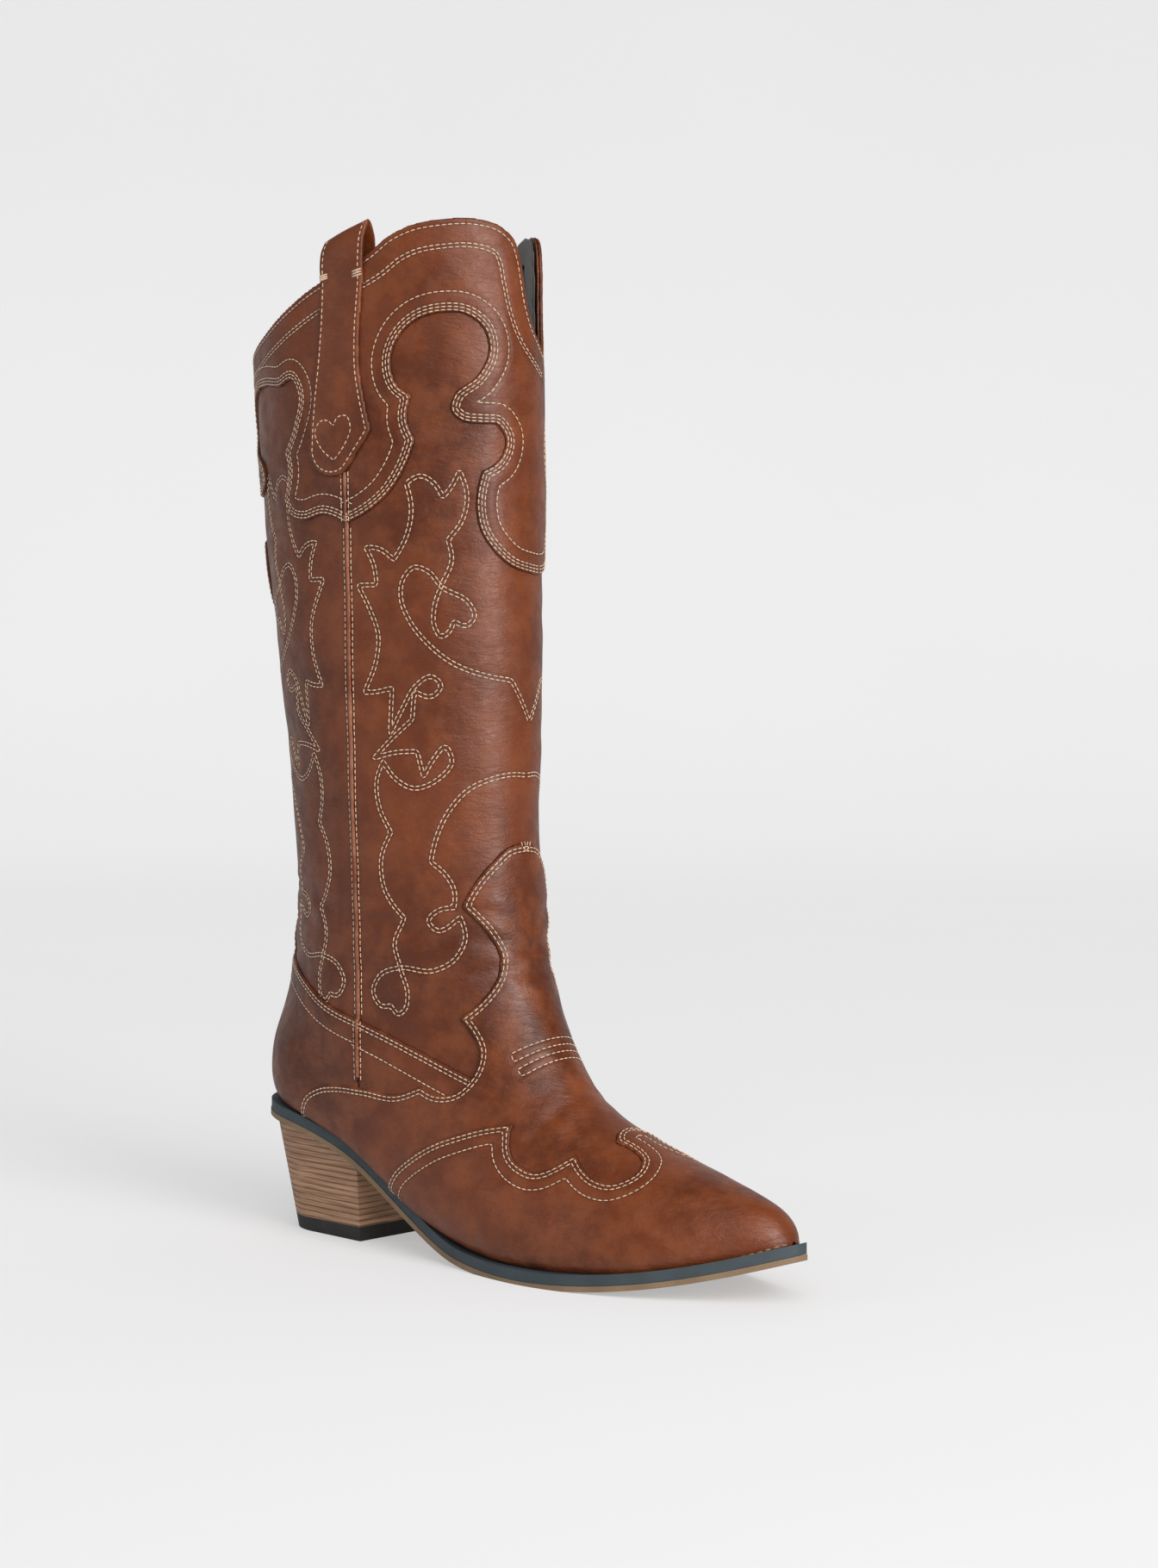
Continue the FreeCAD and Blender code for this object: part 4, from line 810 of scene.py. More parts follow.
def stitches(name, rows, pitch=STITCH, length=0.78, width=0.52, height=0.40):
    """Thread: one small rounded grain for each stitch.  A row is (points, normals)."""
    ring = 6
    stations = [(0.0, 0.35), (0.18, 0.85), (0.5, 1.0), (0.82, 0.85), (1.0, 0.35)]
    points = []
    faces = []
    for centre, normal in rows:
        run = np.concatenate([[0], np.cumsum(np.linalg.norm(np.diff(centre, axis=0), axis=1))])
        count = max(int(round(run[-1] / pitch)), 1)
        for k in range(count):
            start = run[-1] * (k + 0.5 - length / 2.0) / count
            end = run[-1] * (k + 0.5 + length / 2.0) / count
            base = len(points)
            ends = [np.array([np.interp(w, run, centre[:, c]) for c in range(3)]) for w in (start, end)]
            up = unit(np.array([np.interp((start + end) / 2.0, run, normal[:, c]) for c in range(3)]))
            along = unit(ends[1] - ends[0])
            across = unit(np.cross(up, along))
            for where, size in stations:
                middle = ends[0] * (1 - where) + ends[1] * where - up * (1.0 - size) * 0.25
                for corner in range(ring):
                    turn = 2 * np.pi * corner / ring
                    points.append(middle + across * math.cos(turn) * width / 2.0 * size
                                  + up * math.sin(turn) * height / 2.0 * size)
            for j in range(len(stations) - 1):
                for corner in range(ring):
                    following = (corner + 1) % ring
                    faces.append([base + j * ring + corner, base + j * ring + following,
                                  base + (j + 1) * ring + following, base + (j + 1) * ring + corner])
            faces.append([base + corner for corner in reversed(range(ring))])
            faces.append([base + (len(stations) - 1) * ring + corner for corner in range(ring)])
    return new_mesh(name, points, faces)


def sewn(points, height):
    """A row of thread along surface points, lying on leather of the given height."""
    normals = normals_of(points)
    return points + normals * (unevenness(points) + height)[:, None], normals


def beside(line, distance):
    """A line beside another on the surface; positive is to its right seen from outside."""
    points = resampled(line, LINE_STEP)
    tangent = unit(np.gradient(points, axis=0))
    moved = points + np.cross(tangent, normals_of(points)) * distance
    away = Line(points).distance(moved, abs(distance) + 5.0)
    moved = moved[away > abs(distance) * KEPT_SHARE]
    return np.array([nearest(p)[0] for p in moved])


def split_jumps(points, gap=6.0):
    """Cut a line where it jumps, so that no stitch crosses the gap."""
    jumps = np.nonzero(np.linalg.norm(np.diff(points, axis=0), axis=1) > gap)[0]
    return [part for part in np.split(points, jumps + 1) if len(part) > 3]


def off_zip(row):
    """The line without its points over the zip, so that no thread crosses it."""
    over = (row[:, 1] > 0.0) & (np.abs(row[:, 0] - SEAM_X) < SLOT_HALF + ZIP_CLEARANCE)
    over &= (row[:, 2] > SLOT_FOOT_Z - ZIP_CLEARANCE) & (row[:, 2] < SLOT_TOP_Z + ZIP_CLEARANCE)
    return row[~over]


# ---------------------------------------------------------------- sewing lines
def double(line, first):
    """Two rows beside an edge, the nearer one at distance first (its sign says which side)."""
    return [beside(line, first), beside(line, first + math.copysign(DOUBLE, first))]


def drawn(runs, side):
    """The double rows of the drawing on the shaft, where the collar does not cover them."""
    flat = joined(runs)
    covered = inside_polygon(flat[:, 0], flat[:, 1], COLLAR_FRONT_SHAPE)
    covered |= inside_polygon(flat[:, 0], flat[:, 1], COLLAR_BACK_SHAPE)
    line = on_shaft(flat[~covered], side)
    rows = []
    for part in split_jumps(line, 3.0):
        rows += [beside(part, DOUBLE / 2.0), beside(part, -DOUBLE / 2.0)]
    return rows


def seam_row(side, s, z_from, z_to):
    """A row up the shaft, s in front of the side seam."""
    z = np.arange(z_from, z_to, 1.0)
    return on_shaft(np.stack([np.full(len(z), s), z], -1), side)


def instep_rows():
    """Four short rows over the instep, joined in pairs at their ends."""
    rows = []
    for (x0, z0, half0), (x1, z1, half1) in (INSTEP_BARS[:2], INSTEP_BARS[2:]):
        upper = bar_over_instep(x0, z0, half0)
        lower = bar_over_instep(x1, z1, half1)
        rows.append(np.concatenate([upper, lower[::-1], upper[:1]]))
    return [np.array([nearest(p)[0] for p in resampled(row, LINE_STEP)]) for row in rows]


def bar_over_instep(x, z, half):
    """Points over the instep ridge at (x, z), reaching half its width down each side."""
    row = []
    for turn in np.linspace(-half / BAR_RADIUS, half / BAR_RADIUS, 41):
        back = BAR_LEAD - BAR_SWEEP * (1 - math.cos(turn))
        rise = BAR_RISE * math.cos(turn) - BAR_SINK
        row.append(nearest((x + back, BAR_SPREAD * math.sin(turn), z + rise))[0])
    return np.array(row)


# distances of the sewing from the edge that it follows
COLLAR_ROWS = (1.0, 2.3, 3.6, 8.5)
TOP_ROW = 2.6
TOP_DOUBLE = 10.5
VAMP_DOUBLE = 1.5
TOE_DOUBLE = 1.4
TOE_ROW = 7.5
QUARTER_DOUBLE = 1.6
COUNTER_ROW = 10.0
WEDGE_ROW = 11.0
SEAM_ROW = 1.8
ZIP_ROWS = (7.8, 9.5)
# heights where the rows along the side seam begin and end
SEAM_FOOT_Z = {LATERAL: 97.0, MEDIAL: 247.0}
COLLAR_FOOT_Z = 299.0
COLLAR_SEAM_TOP_Z = 322.0
QUARTER_SEAM_Z = (70.0, 96.0)
ZIP_FOOT_Z = 72.0


def motif_rows(side):
    """The drawing in front of the seam and its mirror image behind it."""
    rows = []
    for runs in (FLAME, FLAME_BACK):
        rows += drawn(runs, side)
    for runs in (FLAME, FLAME_BACK):
        rows += drawn([back_of_seam(run) for run in runs], side)
    return rows


def edge_rows(rows):
    """Sewing along the panels' edges and the side seams, added to each panel's rows."""
    for side, vamp, top, front, back, counter, wedge, toe in zip(
            (LATERAL, MEDIAL), VAMP_LINES, TOP_LINES, COLLAR_FRONT_LINES, COLLAR_BACK_LINES,
            COUNTER_LINES, WEDGE_LINES, TOE_LINES):
        for first in COLLAR_ROWS:
            rows["collar"] += [beside(front, side * first), beside(back, -side * first)]
        rows["top"] += [beside(top, side * TOP_ROW)] + double(top, side * TOP_DOUBLE)
        rows["vamp"] += double(vamp, -side * VAMP_DOUBLE)
        rows["toe"] += double(toe, -side * TOE_DOUBLE) + [beside(toe, -side * TOE_ROW)]
        rows["counter"] += double(counter, side * QUARTER_DOUBLE) + [beside(counter, side * COUNTER_ROW)]
        rows["counter"] += double(wedge, -side * QUARTER_DOUBLE) + [beside(wedge, -side * WEDGE_ROW)]
        rows["seams"] += [seam_row(side, s, SEAM_FOOT_Z[side], COLLAR_FOOT_Z) for s in (SEAM_ROW, -SEAM_ROW)]


def seam_rows(rows):
    """Short rows beside the seam on the collar and on the heel leather, and rows round the zip."""
    both = (-SEAM_ROW, SEAM_ROW)
    for side in (LATERAL, MEDIAL):
        rows["collar"] += [seam_row(side, s, COLLAR_FOOT_Z + 1.0, COLLAR_SEAM_TOP_Z) for s in both]
    rows["counter"] += [seam_row(LATERAL, s, *QUARTER_SEAM_Z) for s in both]
    shaft_foot = QUARTER_SEAM_Z[1]
    for s in ZIP_ROWS:
        rows["seams"] += [seam_row(MEDIAL, offset, shaft_foot, SLOT_TOP_Z + 3.0) for offset in (s, -s)]
        rows["counter"] += [seam_row(MEDIAL, offset, ZIP_FOOT_Z, shaft_foot - 2.0) for offset in (s, -s)]
        over_top = np.stack([np.linspace(-s, s, 30), np.full(30, SLOT_TOP_Z + s - 4.6)], -1)
        rows["seams"].append(on_shaft(over_top, MEDIAL))


def sewing_rows():
    """All rows of thread, as points on the surface, by the piece of sewing they belong to."""
    rows = {"motif_lateral": motif_rows(LATERAL), "motif_medial": motif_rows(MEDIAL)}
    rows.update({name: [] for name in ("collar", "top", "vamp", "toe", "counter", "seams")})
    edge_rows(rows)
    rows["vamp"] += instep_rows()
    seam_rows(rows)
    return {name: [part for row in group for part in split_jumps(off_zip(row))]
            for name, group in rows.items()}


ROWS = sewing_rows()


# ---------------------------------------------------------------- materials
class Nodes:
    """Short way to add and join shader nodes."""

    def __init__(self, name):
        self.material = bpy.data.materials.new(name)
        self.material.use_nodes = True
        self.tree = self.material.node_tree
        self.shader = self.tree.nodes["Principled BSDF"]
        self.place = self.add("ShaderNodeTexCoord").outputs["Object"]

    def add(self, kind, **values):
        """New node, with its settings."""
        node = self.tree.nodes.new(kind)
        for key, value in values.items():
            setattr(node, key, value)
        return node

    def link(self, source, target):
        self.tree.links.new(source, target)

    def put(self, socket, value):
        """Join a socket to another, or set its value."""
        if hasattr(value, "is_output"):
            self.link(value, socket)
        elif isinstance(value, tuple) and len(value) == 3 and socket.type == "RGBA":
            socket.default_value = value + (1.0,)
        else:
            socket.default_value = value

    def set(self, **values):
        """Inputs of the surface shader; _ in a name stands for a space."""
        for key, value in values.items():
            self.put(self.shader.inputs[key.replace("_", " ")], value)

    def noise(self, scale, detail=3.0, rough=0.55, stretch=None, distortion=0.0):
        node = self.add("ShaderNodeTexNoise")
        place = self.place if stretch is None else self.scaled(stretch)
        self.link(place, node.inputs["Vector"])
        node.inputs["Scale"].default_value = scale
        node.inputs["Detail"].default_value = detail
        node.inputs["Roughness"].default_value = rough
        node.inputs["Distortion"].default_value = distortion
        return node.outputs["Fac"]

    def cells(self, scale):
        node = self.add("ShaderNodeTexVoronoi")
        self.link(self.place, node.inputs["Vector"])
        node.inputs["Scale"].default_value = scale
        return node.outputs["Distance"]

    def scaled(self, factors):
        node = self.add("ShaderNodeVectorMath", operation="MULTIPLY")
        self.link(self.place, node.inputs[0])
        node.inputs[1].default_value = factors
        return node.outputs["Vector"]

    def axis(self, name):
        node = self.add("ShaderNodeSeparateXYZ")
        self.link(self.place, node.inputs[0])
        return node.outputs[name]

    def span(self, value, low, high, out_low=0.0, out_high=1.0):
        """Value carried smoothly from low..high to out_low..out_high, and held there outside."""
        node = self.add("ShaderNodeMapRange", interpolation_type="SMOOTHSTEP")
        self.put(node.inputs["Value"], value)
        limits = {"From Min": low, "From Max": high, "To Min": out_low, "To Max": out_high}
        for key, number in limits.items():
            node.inputs[key].default_value = number
        return node.outputs["Result"]

    def math(self, operation, *values):
        node = self.add("ShaderNodeMath", operation=operation)
        for socket, value in zip(node.inputs, values):
            self.put(socket, value)
        return node.outputs[0]

    def mix(self, share, a, b):
        node = self.add("ShaderNodeMix", data_type="RGBA")
        self.put(node.inputs["Factor"], share)
        self.put(node.inputs[6], a)
        self.put(node.inputs[7], b)
        return node.outputs[2]

    def measured(self, name):
        """A distance in millimetres stored on the mesh."""
        node = self.add("ShaderNodeAttribute", attribute_name=name)
        return node.outputs["Fac"]

    def bump(self, height, depth_mm, under=None):
        """Normal of a fine relief, on top of another one."""
        node = self.add("ShaderNodeBump")
        node.inputs["Distance"].default_value = depth_mm * MM
        self.put(node.inputs["Height"], height)
        if under is not None:
            self.link(under, node.inputs["Normal"])
        return node.outputs["Normal"]


def shade(colour, factor):
    """A colour made darker or lighter."""
    return tuple(factor * part for part in colour)


def leather(name, dark, middle, light, roughness=0.40, sewn_panel=True):
    """Waxed smooth leather: cloudy colour, fine grain, short wrinkles, raised edges lighter just inside them,
    and painted shade in the grooves under the sewing.
    """
    n = Nodes(name)
    cloud = n.span(n.noise(13.0, 2.0), 0.35, 0.66)
    mottle = n.span(n.noise(75.0, 5.0, 0.62), 0.36, 0.68)
    specks = n.span(n.noise(520.0, 3.0), 0.52, 0.75)
    colour = n.mix(cloud, dark, middle)
    colour = n.mix(n.math("MULTIPLY", mottle, 0.55), colour, light)
    colour = n.mix(n.math("MULTIPLY", specks, 0.22), colour, dark)
    if sewn_panel:
        edge = n.measured("edge_distance")
        rim = n.span(edge, 0.0, 0.9, 0.55, 0.0)
        colour = n.mix(rim, colour, shade(dark, 0.62))
        # lighter in patches just inside the raised edges
        lighter_inside_edge = n.math("MULTIPLY", n.span(edge, 0.7, 2.0, 0.35, 0.0), n.span(mottle, 0.2, 0.9))
        colour = n.mix(lighter_inside_edge, colour, shade(light, 1.25))
        # painted shade: the leather is drawn darker in the grooves under the sewing
        groove = n.span(n.measured("seam_distance"), 0.1, 1.3, 0.38, 0.0)
        colour = n.mix(groove, colour, shade(dark, 0.5))
    pores = n.bump(n.cells(1150.0), 0.045)
    creased = n.noise(210.0, 4.0, 0.6, stretch=(0.8, 0.8, 2.6), distortion=0.6)
    wrinkles = n.bump(n.span(creased, 0.38, 0.62), 0.10, pores)
    soft = n.bump(n.noise(60.0, 3.0), 0.22, wrinkles)
    dull = n.span(n.noise(160.0, 4.0), 0.3, 0.7, roughness - 0.06, roughness + 0.1)
    n.set(Base_Color=colour, Roughness=dull, Normal=soft, Coat_Weight=0.05, Coat_Roughness=0.3,
          Specular_IOR_Level=0.42)
    return n.material


def suede_lining(name, colour):
    """Matt lining with a short nap."""
    n = Nodes(name)
    tone = n.mix(n.span(n.noise(120.0, 5.0), 0.3, 0.7), shade(colour, 0.72), colour)
    nap = n.bump(n.noise(2400.0, 2.0), 0.08)
    n.set(Base_Color=tone, Roughness=0.85, Normal=nap, Sheen_Weight=0.35, Sheen_Roughness=0.5)
    return n.material


def thread(name, colour):
    """Waxed twisted thread."""
    n = Nodes(name)
    tone = n.mix(n.span(n.noise(300.0, 2.0), 0.35, 0.65), shade(colour, 0.72), colour)
    strand = n.mix(n.span(n.noise(2600.0, 2.0), 0.4, 0.7, 0.0, 0.5), tone, shade(colour, 0.55))
    n.set(Base_Color=strand, Roughness=0.6, Normal=n.bump(n.noise(3200.0, 2.0), 0.06), Sheen_Weight=0.2)
    return n.material


def moulded(name, colour, roughness, grain=900.0, depth=0.05, variation=0.8):
    """Rubber or moulded plastic with a slight texture."""
    n = Nodes(name)
    tone = n.mix(n.span(n.noise(70.0, 5.0), 0.3, 0.7), shade(colour, variation), colour)
    marks = n.bump(n.noise(grain, 3.0), depth)
    n.set(Base_Color=tone, Normal=marks,
          Roughness=n.span(n.noise(240.0, 3.0), 0.3, 0.7, roughness - 0.06, roughness + 0.08))
    return n.material


LAYER_PITCH = 0.0024         # thickness of the heel's layers, and how far they wander (metres)
LAYER_DRIFT = 0.0016


def stacked_heel(name):
    """Stacked leather board: uneven pale and dark layers about two millimetres thick."""
    n = Nodes(name)
    drift = n.math("MULTIPLY", n.noise(26.0, 2.0), LAYER_DRIFT)
    level = n.math("ADD", n.axis("Z"), drift)
    phase = n.math("FRACT", n.math("MULTIPLY", level, 1.0 / LAYER_PITCH))
    broken = n.span(n.noise(60.0, 3.0, stretch=(1, 1, 3)), 0.25, 0.5)
    line = n.math("MULTIPLY", n.span(phase, 0.0, 0.42, 1.0, 0.0), broken)
    fibre = n.span(n.noise(110.0, 5.0, stretch=(0.35, 0.35, 7.0)), 0.3, 0.72)
    colour = n.mix(fibre, (0.240, 0.118, 0.058), (0.470, 0.268, 0.152))
    colour = n.mix(line, colour, (0.095, 0.047, 0.026))
    groove = n.bump(n.math("SUBTRACT", fibre, line), 0.12)
    n.set(Base_Color=colour, Roughness=0.55, Normal=groove)
    return n.material


def metal(name, colour, roughness):
    """Lacquered or plated metal with fine scratches and dull patches."""
    n = Nodes(name)
    tone = n.mix(n.span(n.noise(200.0, 4.0), 0.35, 0.7), shade(colour, 0.6), colour)
    scratches = n.bump(n.noise(900.0, 3.0, stretch=(1.0, 1.0, 0.15)), 0.02)
    n.set(Base_Color=tone, Metallic=0.85, Normal=scratches,
          Roughness=n.span(n.noise(300.0, 3.0), 0.3, 0.7, roughness, roughness + 0.2))
    return n.material


def woven(name, colour):
    """Close woven tape."""
    n = Nodes(name)
    ribs = n.add("ShaderNodeTexWave", wave_type="BANDS", bands_direction="Z")
    n.link(n.place, ribs.inputs["Vector"])
    ribs.inputs["Scale"].default_value = 420.0
    ribs.inputs["Distortion"].default_value = 1.5
    tone = n.mix(ribs.outputs["Fac"], shade(colour, 0.55), colour)
    n.set(Base_Color=tone, Roughness=0.8, Normal=n.bump(ribs.outputs["Fac"], 0.1))
    return n.material


DARK = (0.082, 0.0170, 0.0036)
MIDDLE = (0.138, 0.0305, 0.0070)
LIGHT = (0.205, 0.0540, 0.0150)
LEATHER = leather("cognac_leather", DARK, MIDDLE, LIGHT)
VAMP_LEATHER = leather("burnished_leather", shade(DARK, 0.95), MIDDLE, shade(LIGHT, 1.08), 0.38)
LINING_MATERIAL = suede_lining("charcoal_lining", (0.060, 0.055, 0.047))
THREAD = thread("cream_thread", (0.72, 0.50, 0.34))
WELT_THREAD = thread("tan_thread", (0.30, 0.19, 0.10))
BEAD = leather("seam_bead_leather", shade(DARK, 1.5), shade(MIDDLE, 1.35), (0.38, 0.17, 0.10), 0.42,
               sewn_panel=False)
HEEL = stacked_heel("stacked_heel")
CAD_MATERIALS = {
    "welt": moulded("slate_rand", (0.042, 0.060, 0.070), 0.62),
    "outsole": moulded("tan_outsole", (0.215, 0.140, 0.080), 0.7),
    "heel_top_piece": moulded("black_top_piece", (0.022, 0.021, 0.020), 0.6),
    "bottom_filler": moulded("cork_filler", (0.36, 0.23, 0.13), 0.9, 400.0, 0.2, 0.5),
    "insole_board": moulded("fibre_board", (0.30, 0.21, 0.14), 0.85, 700.0, 0.1, 0.7),
    "sock_lining": LINING_MATERIAL,
    "counter_stiffener": moulded("counter_canvas", (0.50, 0.45, 0.38), 0.9, 1500.0, 0.12, 0.8),
    "toe_puff": moulded("puff_canvas", (0.50, 0.45, 0.38), 0.9, 1500.0, 0.12, 0.8),
    "zip_guard": LINING_MATERIAL,
    "zip_tape_front": woven("zip_tape_weave", (0.075, 0.038, 0.025)),
    "zip_coil_front": moulded("zip_nylon", (0.070, 0.036, 0.024), 0.38, 1400.0, 0.02),
    "zip_slider": metal("brown_metal", (0.22, 0.115, 0.085), 0.30),
    "shank": metal("plain_steel", (0.45, 0.45, 0.46), 0.35),
}
SAME_AS = {"zip_tape_back": "zip_tape_front", "zip_coil_back": "zip_coil_front", "zip_pull": "zip_slider",
           "zip_pull_pin": "zip_slider", "zip_top_stops": "zip_slider", "zip_foot_stop": "zip_slider",
           "heel_screw": "shank", "heel_nails": "shank", "top_piece_tacks": "shank"}


# ---------------------------------------------------------------- the pieces
def finish_piece(piece, material, slot, *nodes):
    """Material and body of a piece, and the CAD nodes that it stands in for, which are hidden.  The slot is
    not used.
    """
    piece.data.materials.clear()
    piece.data.materials.append(material)
    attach(piece, "boot")
    if nodes:
        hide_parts(*nodes)


# ranges of angle round the boot
ALL_ROUND = (-math.pi, math.pi)
IN_FRONT = (-FRONT_REACH, FRONT_REACH)
BEHIND = (math.pi - BACK_REACH, math.pi + BACK_REACH)
TOP_U = 0.2                  # the panels begin just below the last section


def make_shaft():
    """Front and back panel of the shaft, with the drawing sewn on them."""
    front = Patch((TOP_U, 15.6), IN_FRONT, 1.15)
    back = Patch((TOP_U, 14.6), BEHIND, 1.15)
    for name, patch, forward in (("shaft_front", front, 1.0), ("shaft_back", back, -1.0)):
        field = np.minimum.reduce([patch.below_top(), forward * patch.from_seam - SEAM_GAP,
                                   patch.above_shaft_foot(), patch.clear_of_zip(SLOT_HALF)])
        lines = [Line(*ROWS[key]) for key in ("motif_lateral", "motif_medial", "seams")]
        piece = panel("skin_" + name, patch, field, BASE, seams=lines)
        finish_piece(piece, LEATHER, "leather_upper", name)


def make_collar():
    """Raised collar in front of the seams and behind them."""
    rows = [Line(*ROWS["collar"]), Line(*ROWS["top"])]
    for name, angles, forward, shape, lines in (
            ("collar_overlay_front", IN_FRONT, 1.0, COLLAR_FRONT_SHAPE, COLLAR_FRONT_LINES),
            ("collar_overlay_back", BEHIND, -1.0, COLLAR_BACK_SHAPE, COLLAR_BACK_LINES)):
        patch = Patch((TOP_U, 6.2), angles, 0.95)
        field = np.minimum.reduce([patch.below_top(), forward * patch.from_seam - SEAM_GAP,
                                   patch.in_shape(shape, Line(*lines))])
        piece = panel("skin_" + name, patch, field, OVERLAY, seams=rows)
        finish_piece(piece, LEATHER, "leather_collar", name)


def make_foot():
    """Vamp, and the toe overlay on top of it."""
    patch = Patch((7.2, U_END), ALL_ROUND, 1.05, wrap=True)
    field = np.minimum(patch.in_vamp(), patch.above_sole())
    piece = panel("skin_vamp", patch, field, VAMP, rounding=1.4, seams=[Line(*ROWS["vamp"])])
    finish_piece(piece, VAMP_LEATHER, "leather_vamp", "vamp")
    patch = Patch((13.0, U_END), ALL_ROUND, 0.95, wrap=True)
    field = np.minimum(patch.in_toe(), patch.above_sole())
    piece = panel("skin_toe_overlay", patch, field, TOE_OVERLAY, seams=[Line(*ROWS["toe"])])
    finish_piece(piece, VAMP_LEATHER, "leather_vamp", "toe_overlay")


UNDER_VAMP = 3.0             # the heel leather runs this far under the vamp's edge


def make_quarter():
    """Counter cover behind the seam and a wedge in front of it on each side."""
    rows = [Line(*ROWS["counter"])]
    patch = Patch((7.0, 18.0), BEHIND, 1.1)
    counter = patch.in_shape(COUNTER_SHAPE, Line(*COUNTER_LINES))
    field = np.minimum.reduce([-patch.from_seam - SEAM_GAP, counter, patch.above_sole(),
                               UNDER_VAMP - patch.in_vamp(), patch.clear_of_zip(SLOT_HALF)])
    piece = panel("skin_counter_cover", patch, field, FOOT_OVERLAY, seams=rows)
    finish_piece(piece, LEATHER, "leather_vamp", "counter_cover")
    for name, angles in (("wedge_lateral", (0.2, 2.2)), ("wedge_medial", (-2.2, -0.2))):
        patch = Patch((9.0, 18.0), angles, 1.1)
        wedge = patch.in_shape(WEDGE_SHAPE, Line(*WEDGE_LINES))
        field = np.minimum.reduce([patch.from_seam - SEAM_GAP, wedge, patch.above_sole(),
                                   UNDER_VAMP - patch.in_vamp(), patch.clear_of_zip(SLOT_HALF)])
        piece = panel("skin_" + name, patch, field, FOOT_OVERLAY, seams=rows)
        finish_piece(piece, LEATHER, "leather_vamp", name)


# edges of the inside parts, all in millimetres
LINING_BELOW_TOP = 0.6
FACING_FROM_TOP = (0.4, 11.5)
GRIP_FRONT_X = 14.0
GRIP_TOP_Z = 92.0
VAMP_LINING_X = 66.0         # the vamp lining's back edge at VAMP_LINING_Z, and its lean
VAMP_LINING_Z = 60.0
VAMP_LINING_LEAN = 1.28
LINING_GAP = 0.3
INTERLINING_LAP = 0.4


def make_inside():
    """Linings, heel grip, top facing and the layer between lining and foot leather."""
    whole = Patch((TOP_U, U_END), ALL_ROUND, 2.6, wrap=True)
    top = whole.below_top() - LINING_BELOW_TOP
    above = whole.above_sole()
    foot = INTERLINING_LAP - whole.above_shaft_foot()
    field = np.minimum.reduce([foot, above, whole.clear_of_zip(SLOT_HALF)])
    finish_piece(panel("skin_foot_interlining", whole, field, BASE), LEATHER, "leather_foot",
                 "foot_interlining")
    slot = whole.clear_of_zip(LINING_SLOT_HALF)
    grip = np.minimum(GRIP_FRONT_X - whole.x, GRIP_TOP_Z - whole.z)
    vamp = whole.x - VAMP_LINING_X - np.maximum(whole.z - VAMP_LINING_Z, 0.0) * VAMP_LINING_LEAN
    shaft = -np.maximum(grip, vamp) - LINING_GAP
    for name, part in (("heel_grip", grip), ("vamp_lining", vamp), ("shaft_lining", shaft)):
        field = np.minimum.reduce([part, above, slot, top])
        finish_piece(panel("skin_" + name, whole, field, LINING), LINING_MATERIAL, "lining", name)
    fine = Patch((TOP_U, 3.6), ALL_ROUND, 1.5, wrap=True)
    from_top = fine.below_top()
    field = np.minimum(from_top - FACING_FROM_TOP[0], FACING_FROM_TOP[1] - from_top)
    finish_piece(panel("skin_collar_facing", fine, field, FACING), LINING_MATERIAL, "leather_strap",
                 "collar_facing")


BEAD_TOP_Z = 323.0
BEAD_HEIGHT = 0.95
BEAD_STEP = 1.1              # the bead climbs this much where it crosses the collar or the heel leather


def make_beads():
    """Raised bead of folded leather along each side seam."""
    for name, foot_z, angles in (("piping_lateral", 71.0, (1.2, 1.9)),
                                 ("piping_medial", 245.0, (-1.9, -1.2))):
        patch = Patch((2.0, 16.5), angles, 0.45)
        ends = np.minimum(patch.z - foot_z, BEAD_TOP_Z - patch.z)
        step = np.clip(np.maximum(patch.z - COLLAR_FOOT_Z - 1.0, QUARTER_SEAM_Z[1] - patch.z), 0.0, 1.0)
        field = np.minimum(BEAD_HALF - np.abs(patch.from_seam), ends)
        layer = (0.0, BEAD_HEIGHT + BEAD_STEP * step)
        piece = panel("skin_" + name, patch, field, layer, rounding=BEAD_HALF)
        finish_piece(piece, BEAD, "leather_piping", name)


class Sheet:
    """A strip standing off the smooth surface: columns along x, rows along its length."""

    wrap = False

    def __init__(self, columns, rows, place):
        self.columns = columns
        self.rows = rows
        self.shape = place.shape[:2]
        self.place = place.reshape(-1, 3)
        along = np.gradient(place, axis=0)
        across = np.gradient(place, axis=1)
        self.normal = unit(np.cross(along, across)).reshape(-1, 3)

    def at(self, flat):
        """Place and normal at (x, distance along) points."""
        order = np.argsort(self.columns)
        column = np.interp(flat[:, 0], self.columns[order], np.arange(len(self.columns))[order])
        row = np.interp(flat[:, 1], self.rows, np.arange(len(self.rows)))
        i = np.minimum(row.astype(int), self.shape[0] - 2)
        j = np.minimum(column.astype(int), self.shape[1] - 2)
        f = (row - i)[:, None]
        g = (column - j)[:, None]
        found = []
        for table in (self.place, self.normal):
            grid = table.reshape(self.shape + (3,))
            found.append((1 - f) * ((1 - g) * grid[i, j] + g * grid[i, j + 1])
                         + f * ((1 - g) * grid[i + 1, j] + g * grid[i + 1, j + 1]))
        return found[0], unit(found[1])


